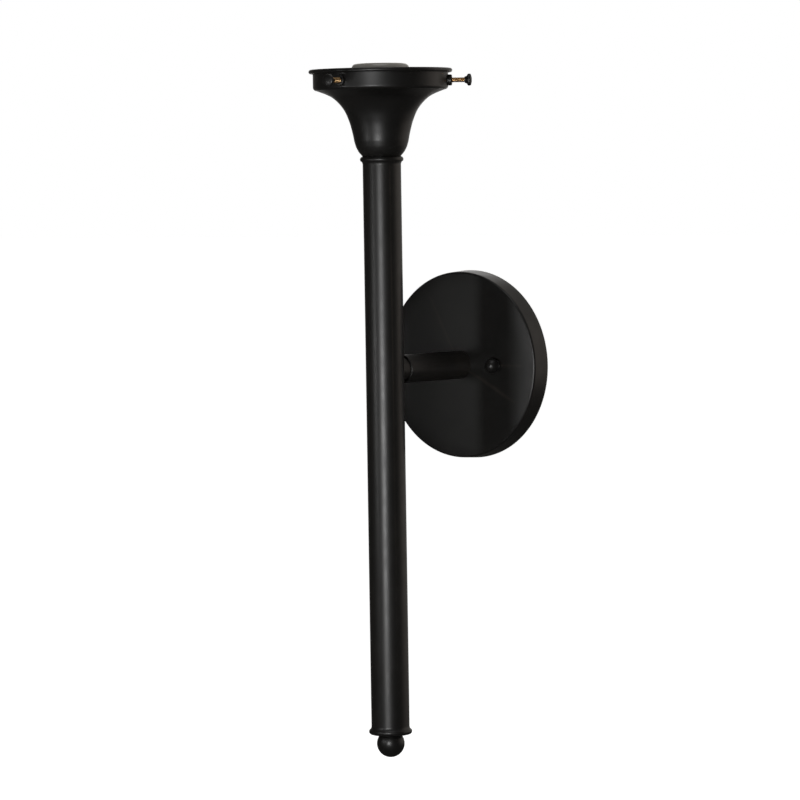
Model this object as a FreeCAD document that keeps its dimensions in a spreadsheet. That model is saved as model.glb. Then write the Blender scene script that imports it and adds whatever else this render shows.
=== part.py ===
import FreeCAD, Part
import math
import os
import Sketcher
from FreeCAD import Placement, Rotation, Vector

# A torch wall light without its glass: a round wall canopy, a short arm, a plumb stem with a
# turned collar at each end, a ball finial below, and on top a bell shaped shade holder with
# three thumbscrews round a porcelain lampholder.
#
# Millimetres. The origin is on the wall, at the centre of the canopy's back, on the arm's
# axis. +Z is up, +X is to the right seen from the room, and the room is towards -Y.

SIZES = {
    # wall canopy and what is behind it
    "canopy_rear_diameter": (127.8, "outside of the canopy at the wall"),
    "canopy_front_diameter": (126.2, "outside of the canopy where the front rounding starts"),
    "canopy_depth": (14.3, "wall to front face"),
    "canopy_sheet": (1.2, "thickness of the spun sheet"),
    "canopy_rounding": (2.0, "outside rounding of the front edge"),
    "stud_spacing": (63.5, "between the two canopy studs"),
    "stud_diameter": (4.17, "canopy stud, 8-32 thread"),
    "stud_reach": (6.0, "stud beyond the front face of the canopy"),
    "stud_nut_flats": (8.7, "locking nut of a stud, across flats"),
    "stud_nut_thickness": (3.0, "locking nut of a stud"),
    "cap_ball_diameter": (9.8, "ball of a cap nut"),
    "cap_neck_diameter": (7.2, "seat of a cap nut on the canopy"),
    "cap_neck_height": (1.6, "collar under the ball of a cap nut"),
    "cap_neck_edge": (0.6, "slope on top of that collar"),
    "cap_waist_diameter": (5.8, "seat of the ball on its collar"),
    "blind_room": (0.5, "blind hole beyond the end of its stud or pipe"),
    "bar_length": (106.0, "crossbar"),
    "bar_width": (19.0, "crossbar"),
    "bar_thickness": (2.0, "crossbar"),
    "box_screw_spacing": (88.9, "slots for the screws into the wall box"),
    "box_slot_width": (4.8, "slot for a box screw"),
    "box_slot_length": (8.6, "slot for a box screw, end to end"),
    "ground_place": (17.5, "ground screw from the middle of the bar"),
    "ground_thread": (4.8, "ground screw, 10-32 thread"),
    "ground_head_flats": (7.9, "hexagon head of the ground screw"),
    "ground_head_height": (3.2, "hexagon head of the ground screw"),
    "ground_wire": (1.4, "bare ground wire"),
    "ground_barrel": (2.6, "crimped barrel of a ring terminal"),
    "ground_barrel_length": (4.5, "crimped barrel of a ring terminal"),
    "ground_loop": (20.0, "lowest run of the ground wire below the arm's axis"),
    "ground_bend": (4.0, "bend radius of the ground wire"),
    "terminal_sheet": (0.8, "thickness of a ring terminal"),
    "terminal_margin": (0.7, "ring terminal or barrel beyond the head or nut on it"),
    # threaded pipe that holds the light together and carries the leads
    "pipe_diameter": (9.6, "threaded pipe, outside"),
    "pipe_bore": (6.6, "threaded pipe, bore"),
    "pipe_nut_flats": (14.3, "hexagon nut on the pipe, across flats"),
    "pipe_nut_thickness": (2.8, "hexagon nut on the pipe"),
    "washer_diameter": (16.0, "lock washer on the pipe"),
    "washer_thickness": (0.9, "lock washer on the pipe"),
    "pipe_end": (0.8, "pipe beyond its nut"),
    "thread_gap": (0.04, "radial clearance of a screwed joint"),
    "fit_gap": (0.08, "radial clearance of a plug in its tube"),
    # arm
    "arm_reach": (95.25, "wall to the axis of the stem"),
    "arm_diameter": (19.05, "arm tube, outside"),
    "arm_wall": (1.6, "arm tube"),
    "arm_edge": (0.6, "rounding of the arm tube's free edge"),
    "neck_diameter": (16.4, "reduced neck between arm tube and stem"),
    "neck_length": (4.6, "neck that shows between arm tube and stem"),
    "neck_plug": (8.0, "neck inside the arm tube"),
    "arm_plug": (5.0, "ring that centres the arm tube on the pipe at the canopy"),
    "arm_pipe_entry": (2.6, "arm pipe inside the stem"),
    # stem
    "stem_diameter": (25.4, "stem tube, outside"),
    "stem_wall": (1.2, "stem tube"),
    "stem_rise": (136.0, "top of the stem tube above the arm's axis"),
    "stem_drop": (237.0, "bottom of the stem tube below the arm's axis"),
    "collar_diameter": (28.8, "widest ring of an end collar"),
    "collar_height": (5.6, "end collar outside the tube"),
    "collar_cove": (3.0, "cove between tube and ring"),
    "collar_face": (24.6, "flat end face of a collar"),
    "collar_plug": (7.0, "collar inside the tube"),
    # ball finial
    "finial_diameter": (18.5, "ball finial"),
    "finial_seat": (6.2, "centre of the ball below its flat seat"),
    "finial_screw_in": (6.5, "pipe inside the ball"),
    # shade holder
    "holder_height": (57.6, "underside of the bell to the top of the lip"),
    "holder_sheet": (1.2, "thickness of the spun sheet"),
    "bowl_round": (10.1, "rounding of the bell's underside"),
    "throat_diameter": (36.0, "bell at the top of the bowl"),
    "band_diameter": (89.5, "cylindrical band"),
    "band_height": (14.0, "foot of the band to the top of the lip"),
    "band_foot_round": (2.4, "rounding at the foot of the band"),
    "lip_diameter": (95.0, "rolled lip"),
    "lip_roll": (1.9, "thickness of the rolled lip"),
    # thumbscrews
    "glass_neck_diameter": (82.55, "glass neck that the screws hold"),
    "screw_height": (8.0, "axis of the thumbscrews below the top of the lip"),
    "screw_thread": (3.5, "thumbscrew, 6-32 thread"),
    "screw_reach": (8.4, "bare thread between boss and head at rest"),
    "screw_point": (0.5, "chamfer of the screw's inner end"),
    "running_gap": (0.05, "radial clearance of a thumbscrew in its boss and in its head"),
    "boss_diameter": (7.3, "threaded boss of a thumbscrew"),
    "boss_height": (2.6, "boss outside the band"),
    "boss_edge": (0.6, "chamfer of a boss"),
    "boss_spigot": (5.2, "boss through the band"),
    "head_diameter": (7.9, "head of a thumbscrew"),
    "head_rim": (2.7, "thickness of the head's rim"),
    "head_cone": (2.0, "cone under the rim"),
    "head_neck": (4.7, "small end of the cone"),
    "head_flare": (4.0, "radius of the hollow cone"),
    "head_dome": (0.5, "crown of the head"),
    "head_grip": (2.4, "thread inside the head"),
    # lampholder
    "lamp_rise": (4.6, "lampholder above the top of the lip"),
    "lamp_diameter": (38.1, "upper barrel of the lampholder"),
    "lamp_height": (44.0, "porcelain body"),
    "lamp_barrel": (20.0, "upper barrel of the lampholder"),
    "lamp_rim_round": (2.6, "rounding of the top rim"),
    "lamp_shoulder": (6.0, "cone between the barrels"),
    "lamp_foot_diameter": (31.0, "lower barrel of the lampholder"),
    "shell_bore": (26.7, "screw shell, inside, for a medium base lamp"),
    "shell_sheet": (0.4, "thickness of the screw shell"),
    "shell_height": (23.0, "screw shell"),
    "shell_depth": (1.8, "top of the screw shell below the rim"),
    "shell_gap": (0.1, "screw shell in the porcelain"),
    "shell_hole": (13.0, "hole in the floor of the screw shell"),
    "contact_width": (5.0, "centre contact"),
    "contact_length": (10.0, "centre contact"),
    "contact_sheet": (0.5, "centre contact"),
    "contact_pocket": (3.2, "pocket for the centre contact under the screw shell"),
    "cap_height": (8.0, "cup of the metal cap under the porcelain"),
    "cap_sheet": (1.0, "sheet of the metal cap"),
    "cap_hub_diameter": (14.0, "threaded hub of the metal cap"),
    "set_screw_thread": (3.0, "set screw in the hub"),
    "cap_screw_thread": (2.8, "screw between cap and porcelain"),
    "cap_screw_place": (10.5, "screw between cap and porcelain, from the axis"),
    "cap_screw_bite": (8.8, "screw inside the porcelain"),
    "cap_screw_head": (5.2, "head of a cap screw"),
    "cap_screw_head_height": (1.7, "head of a cap screw"),
    "terminal_thread": (3.5, "terminal screw"),
    "terminal_head": (6.4, "head of a terminal screw"),
    "terminal_head_height": (1.8, "head of a terminal screw"),
    "terminal_height": (8.0, "terminal screw above the foot of the porcelain"),
    "terminal_recess": (0.6, "flat under a terminal screw's head"),
    "terminal_room": (0.6, "flat beyond the head"),
    # leads
    "lead_diameter": (2.0, "insulated lead"),
    "lead_offset": (1.6, "lead from the axis inside the pipes"),
    "lead_channel": (2.6, "channel in the porcelain for a lead"),
    "lead_terminal": (8.0, "channel from the axis of the lampholder"),
    "lead_bend": (3.2, "bend radius of a lead at the canopy"),
    "lead_sweep": (8.0, "bend radius of a lead from stem to arm"),
    "lead_spread": (35.0, "slope of a lead behind the canopy, degrees from plumb"),
    "connector_mouth": (7.0, "mouth of a wire connector"),
    "connector_diameter": (8.4, "skirt of a wire connector"),
    "connector_skirt": (4.2, "mouth to skirt of a wire connector"),
    "connector_tip": (5.0, "closed end of a wire connector"),
    "connector_length": (17.0, "wire connector"),
    "connector_place": (20.0, "mouth of a wire connector from the arm's axis"),
    "screw_turn": (3.5, "front thumbscrew turned to the right, degrees"),
}

UPRIGHT = Rotation()
TO_ROOM = Rotation(Vector(1, 0, 0), 90)
TO_RIGHT = Rotation(Vector(0, 1, 0), 90)
SCREW_ANGLES = (0.0, 120.0, 240.0)
SCREW_NAMES = ("front", "right", "left")
PAST = 1.0  # a tool that cuts a hole starts and ends this far outside the material


class Size:
    """A length: its value now, and the sheet expression that drives it."""

    def __init__(self, value, text):
        self.value = float(value)
        self.text = text

    @staticmethod
    def of(number):
        return number if isinstance(number, Size) else Size(number, repr(float(number)))

    def __add__(self, other):
        other = Size.of(other)
        return Size(self.value + other.value, "(%s + %s)" % (self.text, other.text))

    def __sub__(self, other):
        other = Size.of(other)
        return Size(self.value - other.value, "(%s - %s)" % (self.text, other.text))

    def __mul__(self, factor):
        factor = Size.of(factor)
        return Size(self.value * factor.value, "(%s * %s)" % (self.text, factor.text))

    def __truediv__(self, divisor):
        divisor = Size.of(divisor)
        return Size(self.value / divisor.value, "(%s / %s)" % (self.text, divisor.text))

    def __neg__(self):
        return Size(-self.value, "(0 - %s)" % self.text)

    __radd__ = __add__
    __rmul__ = __mul__

    def __rsub__(self, other):
        return Size.of(other) - self


def root(size):
    """Square root of a Size."""
    return Size(math.sqrt(size.value), "sqrt(%s)" % size.text)


doc = FreeCAD.newDocument("torch_wall_light")
sheet = doc.addObject("Spreadsheet::Sheet", "Sizes")
for row, (alias, (number, meaning)) in enumerate(SIZES.items(), start=1):
    sheet.set("A%d" % row, alias.replace("_", " "))
    sheet.set("B%d" % row, repr(number))
    sheet.set("C%d" % row, meaning)
    sheet.setAlias("B%d" % row, alias)
doc.recompute()
cell = {alias: Size(number, "Sizes." + alias) for alias, (number, meaning) in SIZES.items()}


# ---------------------------------------------------------------- drawing helpers

def bind(thing, **sizes):
    """Drive properties of an object from the sheet."""
    for name, size in sizes.items():
        thing.setExpression(name, Size.of(size).text)
        setattr(thing, name, Size.of(size).value)


def place(thing, at=(0, 0, 0), turn=UPRIGHT):
    """Put an object at a point and turn it, with the point driven from the sheet."""
    point = [Size.of(number) for number in at]
    thing.Placement = Placement(Vector(*[size.value for size in point]), turn)
    for axis, size in zip("xyz", point):
        if "Sizes." in size.text:
            thing.setExpression("Placement.Base." + axis, size.text)
    return thing


def cylinder(name, radius, height, at=(0, 0, 0), turn=UPRIGHT):
    solid = doc.addObject("Part::Cylinder", name)
    bind(solid, Radius=radius, Height=height)
    return place(solid, at, turn)


def box(name, length, width, height, at=(0, 0, 0), turn=UPRIGHT):
    solid = doc.addObject("Part::Box", name)
    bind(solid, Length=length, Width=width, Height=height)
    return place(solid, at, turn)


def cut(name, base, *tools):
    """Take one or more solids out of a base solid."""
    tool = tools[0]
    if len(tools) > 1:
        tool = doc.addObject("Part::MultiFuse", name + "_tools")
        tool.Shapes = list(tools)
    result = doc.addObject("Part::Cut", name)
    result.Base = base
    result.Tool = tool
    return result


def fuse(name, *solids):
    result = doc.addObject("Part::MultiFuse", name)
    result.Shapes = list(solids)
    return result


def group(name, *solids):
    """Identical pieces that share one node as separate solids."""
    result = doc.addObject("Part::Compound", name)
    result.Links = list(solids)
    return result


def arc_centre(first, last, radius):
    """Centre of the arc between two points; a positive radius turns to the left."""
    middle = (first + last) * 0.5
    chord = last - first
    rise = math.sqrt(max(radius * radius - chord.Length ** 2 / 4.0, 0.0))
    side = Vector(-chord.y, chord.x, 0).normalize()
    return middle + side * (rise if radius > 0 else -rise)


def draw(sketch, outline):
    """Draw a closed outline of (x, y) corners; a third value is the radius of the run to it."""
    corners = [(Size.of(corner[0]), Size.of(corner[1])) for corner in outline]
    runs = [Size.of(corner[2]) if len(corner) > 2 else None for corner in outline]
    ends = []
    for index in range(len(corners)):
        following = (index + 1) % len(corners)
        first = Vector(corners[index][0].value, corners[index][1].value, 0)
        last = Vector(corners[following][0].value, corners[following][1].value, 0)
        radius = runs[following]
        if radius is None:
            curve = sketch.addGeometry(Part.LineSegment(first, last), False)
            ends.append((curve, 1, 2))
            continue
        centre = arc_centre(first, last, radius.value)
        spokes = (first - centre, last - centre)
        angles = [math.atan2(spoke.y, spoke.x) for spoke in spokes]
        if radius.value < 0:
            angles.reverse()
        circle = Part.Circle(centre, Vector(0, 0, 1), abs(radius.value))
        curve = sketch.addGeometry(Part.ArcOfCircle(circle, angles[0], angles[1]), False)
        ends.append((curve, 1, 2) if radius.value > 0 else (curve, 2, 1))
        reach = radius if radius.value > 0 else -radius
        rule = sketch.addConstraint(Sketcher.Constraint("Radius", curve, reach.value))
        sketch.setExpression("Constraints[%d]" % rule, reach.text)
    for index, (curve, start, finish) in enumerate(ends):
        following = ends[(index + 1) % len(ends)]
        sketch.addConstraint(
            Sketcher.Constraint("Coincident", curve, finish, following[0], following[1]))
        for kind, size, axis in (("DistanceX", corners[index][0], -2),
                                 ("DistanceY", corners[index][1], -1)):
            if "Sizes." not in size.text and size.value == 0:
                sketch.addConstraint(Sketcher.Constraint("PointOnObject", curve, start, axis))
                continue
            rule = sketch.addConstraint(
                Sketcher.Constraint(kind, -1, 1, curve, start, size.value))
            sketch.setExpression("Constraints[%d]" % rule, size.text)


def sketch_in(body, name, role):
    """A sketch on one of the body's own origin planes."""
    sketch = body.newObject("Sketcher::SketchObject", name)
    plane = [thing for thing in body.Origin.OriginFeatures if thing.Role == role][0]
    sketch.AttachmentSupport = [(plane, "")]
    sketch.MapMode = "FlatFace"
    return sketch


def lathe(name, outline, at=(0, 0, 0), turn=UPRIGHT):
    """A turned or spun piece: (radius, height) corners revolved about the body's own Z axis."""
    body = doc.addObject("PartDesign::Body", name)
    sketch = sketch_in(body, name + "_outline", "XZ_Plane")
    draw(sketch, outline)
    turned = body.newObject("PartDesign::Revolution", name + "_turned")
    turned.Profile = sketch
    turned.ReferenceAxis = (sketch, ["V_Axis"])
    turned.Angle = 360
    return place(body, at, turn)


def ring(name, outer, inner, height, at=(0, 0, 0), turn=UPRIGHT):
    """A plain ring or tube, by its two radii."""
    outline = [(inner, 0), (outer, 0), (outer, height), (inner, height)]
    return lathe(name, outline, at, turn)


def hex_nut(name, flats, thickness, bore, at=(0, 0, 0), turn=UPRIGHT):
    """A hexagon nut, by its size across flats and the radius of its bore."""
    hexagon = doc.addObject("Part::Prism", name + "_hexagon")
    hexagon.Polygon = 6
    bind(hexagon, Circumradius=flats / root(Size.of(3)), Height=thickness)
    hole = cylinder(name + "_bore", bore, thickness + 2 * PAST, (0, 0, -PAST))
    return place(cut(name, hexagon, hole), at, turn)


# ---------------------------------------------------------------- shared places

pipe_radius = cell["pipe_diameter"] / 2
pipe_hole = pipe_radius + cell["thread_gap"]
reach = cell["arm_reach"]
stem_radius = cell["stem_diameter"] / 2
stem_inside = stem_radius - cell["stem_wall"]
arm_radius = cell["arm_diameter"] / 2
arm_inside = arm_radius - cell["arm_wall"]
arm_front = reach - stem_radius - cell["neck_length"]
canopy_inside = cell["canopy_depth"] - cell["canopy_sheet"]
bell_foot = cell["stem_rise"] + cell["collar_height"]
lip_top = bell_foot + cell["holder_height"]
band_radius = cell["band_diameter"] / 2
lamp_top = lip_top + cell["lamp_rise"]
lamp_foot = lamp_top - cell["lamp_height"]
cap_foot = lamp_foot - cell["cap_height"]
lead_radius = cell["lead_diameter"] / 2
stud_radius = cell["stud_diameter"] / 2
stud_bore = stud_radius + cell["thread_gap"]
stud_hole = stud_radius + cell["fit_gap"]
# Depths behind the canopy, from the wall: washer, ring terminal, nut and the pipe's end.
terminal_depth = canopy_inside - cell["washer_thickness"]
arm_nut_depth = terminal_depth - cell["terminal_sheet"]
arm_pipe_depth = arm_nut_depth - cell["pipe_nut_thickness"] - cell["pipe_end"]
stem_seat = -cell["stem_drop"] - cell["collar_height"]


# ---------------------------------------------------------------- wall canopy and crossbar

def make_canopy():
    """Spun pan, open to the wall, with a hole for the pipe and two for the studs."""
    rear = cell["canopy_rear_diameter"] / 2
    front = cell["canopy_front_diameter"] / 2
    rounding = cell["canopy_rounding"]
    sheet_size = cell["canopy_sheet"]
    depth = cell["canopy_depth"]
    pan = lathe("canopy_pan", [
        (rear, 0),
        (front, depth - rounding),
        (front - rounding, depth, rounding),
        (pipe_hole, depth),
        (pipe_hole, canopy_inside),
        (front - rounding, canopy_inside),
        (front - sheet_size, depth - rounding, sheet_size - rounding),
        (rear - sheet_size, 0),
    ], turn=TO_ROOM)
    holes = [
        cylinder("canopy_stud_hole_%d" % side, stud_hole, depth + 2 * PAST,
                 (side * cell["stud_spacing"] / 2, PAST, 0), TO_ROOM)
        for side in (-1, 1)]
    cut("canopy", pan, *holes)


def make_crossbar():
    """Flat steel bar that is screwed to the wall box and carries the canopy's studs."""
    length = cell["bar_length"]
    width = cell["bar_width"]
    thickness = cell["bar_thickness"]
    blank = box("crossbar_blank", length, thickness, width, (-length / 2, -thickness, -width / 2))
    through = thickness + 2 * PAST
    holes = [cylinder("crossbar_wire_hole", pipe_radius + cell["fit_gap"], through,
                      (0, PAST, 0), TO_ROOM),
             cylinder("crossbar_ground_hole", cell["ground_thread"] / 2 + cell["thread_gap"],
                      through, (cell["ground_place"], PAST, 0), TO_ROOM)]
    slot_radius = cell["box_slot_width"] / 2
    slot_run = cell["box_slot_length"] - cell["box_slot_width"]
    for side in (-1, 1):
        holes.append(cylinder("crossbar_stud_hole_%d" % side, stud_bore, through,
                              (side * cell["stud_spacing"] / 2, PAST, 0), TO_ROOM))
        middle = side * cell["box_screw_spacing"] / 2
        for end in (-1, 1):
            holes.append(cylinder("crossbar_slot_end_%d_%d" % (side, end), slot_radius, through,
                                  (middle + end * slot_run / 2, PAST, 0), TO_ROOM))
        holes.append(box("crossbar_slot_%d" % side, slot_run, through, slot_radius * 2,
                         (middle - slot_run / 2, PAST - through, -slot_radius)))
    cut("crossbar", blank, *holes)


def make_studs():
    """Two studs in the crossbar, their locking nuts, and the ball cap nuts on the canopy."""
    studs = []
    nuts = []
    caps = []
    ball = cell["cap_ball_diameter"] / 2
    neck = cell["cap_neck_diameter"] / 2
    waist = cell["cap_waist_diameter"] / 2
    neck_height = cell["cap_neck_height"]
    centre = neck_height + root(ball * ball - waist * waist)
    blind = cell["stud_reach"] + cell["blind_room"]
    for side in (-1, 1):
        stud_x = side * cell["stud_spacing"] / 2
        studs.append(cylinder("stud_%d" % side, stud_radius,
                              cell["canopy_depth"] + cell["stud_reach"], (stud_x, 0, 0), TO_ROOM))
        nuts.append(hex_nut("stud_nut_%d" % side, cell["stud_nut_flats"],
                            cell["stud_nut_thickness"], stud_bore,
                            (stud_x, -cell["bar_thickness"], 0), TO_ROOM))
        caps.append(lathe("cap_nut_%d" % side, [
            (stud_bore, 0),
            (neck, 0),
            (neck, neck_height - cell["cap_neck_edge"]),
            (waist, neck_height),
            (0, centre + ball, ball),
            (0, blind),
            (stud_bore, blind),
        ], (stud_x, -cell["canopy_depth"], 0), TO_ROOM))
    group("canopy_studs", *studs)
    group("stud_locknuts", *nuts)
    group("ball_cap_nuts", *caps)


def make_ground_screw():
    """Hexagon headed ground screw, through its ring terminal into the crossbar."""
    under_head = cell["bar_thickness"] + cell["terminal_sheet"]
    shank = cylinder("ground_shank", cell["ground_thread"] / 2, under_head + cell["pipe_end"],
                     (cell["ground_place"], 0, 0), TO_ROOM)
    head = doc.addObject("Part::Prism", "ground_head")
    head.Polygon = 6
    bind(head, Circumradius=cell["ground_head_flats"] / root(Size.of(3)),
         Height=cell["ground_head_height"])
    place(head, (cell["ground_place"], -under_head, 0), TO_ROOM)
    fuse("ground_screw", shank, head)


def ring_terminal(name, reach_out, bore, middle, depth, to_room):
    """Ring terminal flat on a face at that depth from the wall, its barrel pointing down.

    It lies on the room's side of that face, or else on the wall's side. Gives the pieces, and
    the point where the wire enters the barrel."""
    sheet_size = cell["terminal_sheet"]
    barrel = cell["ground_barrel"] / 2
    length = cell["ground_barrel_length"]
    top = -reach_out - cell["terminal_margin"]
    face = -depth - sheet_size if to_room else -depth
    barrel_y = -depth - barrel if to_room else -depth + barrel
    disc = cylinder(name + "_disc", reach_out, sheet_size, (middle, face + sheet_size, 0), TO_ROOM)
    tongue = box(name + "_tongue", barrel * 2, sheet_size, length - top,
                 (middle - barrel, face, top - length))
    hole = cylinder(name + "_hole", bore, sheet_size + 2 * PAST,
                    (middle, face + sheet_size + PAST, 0), TO_ROOM)
    plate = cut(name + "_plate", fuse(name + "_flat", disc, tongue), hole)
    sleeve = cylinder(name + "_sleeve", barrel, length, (middle, barrel_y, top - length))
    return [plate, sleeve], (middle, barrel_y, top - length)


def make_ground_lead():
    """Bare ground wire from the pipe behind the canopy to the ground screw."""
    pipe_end, pipe_mouth = ring_terminal(
        "pipe_terminal", cell["pipe_nut_flats"] / root(Size.of(3)), pipe_hole,
        Size.of(0), terminal_depth, False)
    screw_end, screw_mouth = ring_terminal(
        "screw_terminal", cell["ground_head_flats"] / root(Size.of(3)),
        cell["ground_thread"] / 2 + cell["thread_gap"], cell["ground_place"],
        cell["bar_thickness"], True)
    corners = []
    for mouth, inward in ((pipe_mouth, 1), (screw_mouth, -1)):
        entry = Vector(*[Size.of(number).value for number in mouth])
        held = entry + Vector(0, 0, cell["ground_barrel_length"].value / 2)
        low = Vector(entry.x, entry.y, -cell["ground_loop"].value)
        corners += [held, low] if inward > 0 else [low, held]
    wire = doc.addObject("Part::Feature", "ground_wire")
    bend = cell["ground_bend"].value
    wire.Shape = lead_shape("ground wire", corners, (bend, bend), cell["ground_wire"].value / 2)
    fuse("ground_lead", *pipe_end, *screw_end, wire)


# ---------------------------------------------------------------- arm

def make_arm():
    """Arm tube between canopy and neck, drawn together by a threaded pipe through both."""
    length = arm_front - cell["canopy_depth"]
    edge = cell["arm_edge"]
    lathe("arm_tube", [
        (arm_inside, 0),
        (arm_radius, 0),
        (arm_radius, length - edge),
        (arm_radius - edge, length, edge),
        (arm_inside, length),
    ], (0, -cell["canopy_depth"], 0), TO_ROOM)
    ring("arm_centring_ring", arm_inside - cell["fit_gap"], pipe_hole, cell["arm_plug"],
         (0, -cell["canopy_depth"], 0), TO_ROOM)

    neck_radius = cell["neck_diameter"] / 2
    neck = lathe("neck_blank", [
        (pipe_hole, 0),
        (arm_inside - cell["fit_gap"], 0),
        (arm_inside - cell["fit_gap"], cell["neck_plug"]),
        (neck_radius, cell["neck_plug"]),
        (neck_radius, cell["neck_plug"] + cell["neck_length"] + stem_radius),
        (pipe_hole, cell["neck_plug"] + cell["neck_length"] + stem_radius),
    ], (0, cell["neck_plug"] - arm_front, 0), TO_ROOM)
    saddle = cylinder("neck_saddle", stem_radius, cell["stem_diameter"] * 2,
                      (0, -reach, -cell["stem_diameter"]))
    cut("arm_neck_bush", neck, saddle)

    stem_end = reach - stem_inside + cell["arm_pipe_entry"]
    ring("arm_pipe", pipe_radius, cell["pipe_bore"] / 2, stem_end - arm_pipe_depth,
         (0, -arm_pipe_depth, 0), TO_ROOM)
    ring("arm_lock_washer", cell["washer_diameter"] / 2, pipe_hole, cell["washer_thickness"],
         (0, -terminal_depth, 0), TO_ROOM)
    hex_nut("arm_hex_nut", cell["pipe_nut_flats"], cell["pipe_nut_thickness"], pipe_hole,
            (0, cell["pipe_nut_thickness"] - arm_nut_depth, 0), TO_ROOM)


# ---------------------------------------------------------------- stem

def collar_outline():
    """End collar from its flat end face, height 0, to the end of its plug in the tube."""
    face = cell["collar_face"] / 2
    ring_radius = cell["collar_diameter"] / 2
    height = cell["collar_height"]
    cove = cell["collar_cove"]
    nose = (height - cove) / 2
    plug = stem_inside - cell["fit_gap"]
    return [
        (pipe_hole, 0),
        (face, 0),
        (ring_radius, nose),
        (ring_radius, nose * 2),
        (stem_radius, height, -(cove * cove + (ring_radius - stem_radius) * (
            ring_radius - stem_radius)) / (2 * (ring_radius - stem_radius))),
        (plug, height),
        (plug, height + cell["collar_plug"]),
        (pipe_hole, height + cell["collar_plug"]),
    ]


def make_stem():
    """Stem tube with a side hole for the arm's pipe, and a turned collar at each end."""
    length = cell["stem_rise"] + cell["stem_drop"]
    tube = ring("stem_blank", stem_radius, stem_inside, length, (0, -reach, -cell["stem_drop"]))
    side_hole = cylinder("stem_side_hole", pipe_hole, stem_radius, (0, -reach + stem_radius, 0),
                         TO_ROOM)
    cut("stem_tube", tube, side_hole)
    upside_down = Rotation(Vector(1, 0, 0), 180)
    lathe("stem_top_collar", collar_outline(), (0, -reach, bell_foot), upside_down)
    lathe("stem_bottom_collar", collar_outline(), (0, -reach, stem_seat))


def make_finial():
    """Ball finial on a short pipe that is locked inside the stem."""
    ball = cell["finial_diameter"] / 2
    drop = cell["finial_seat"]
    blind = cell["finial_screw_in"] + cell["blind_room"]
    lathe("ball_finial", [
        (pipe_hole, 0),
        (root(ball * ball - drop * drop), 0),
        (0, -drop - ball, -ball),
        (0, -blind),
        (pipe_hole, -blind),
    ], (0, -reach, stem_seat))
    plug_top = -cell["stem_drop"] + cell["collar_plug"]
    pipe_foot = stem_seat - cell["finial_screw_in"]
    pipe_top = plug_top + cell["pipe_nut_thickness"] + cell["pipe_end"]
    ring("finial_pipe", pipe_radius, cell["pipe_bore"] / 2, pipe_top - pipe_foot,
         (0, -reach, pipe_foot))
    hex_nut("finial_locknut", cell["pipe_nut_flats"], cell["pipe_nut_thickness"], pipe_hole,
            (0, -reach, plug_top))


# ---------------------------------------------------------------- shade holder

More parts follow.
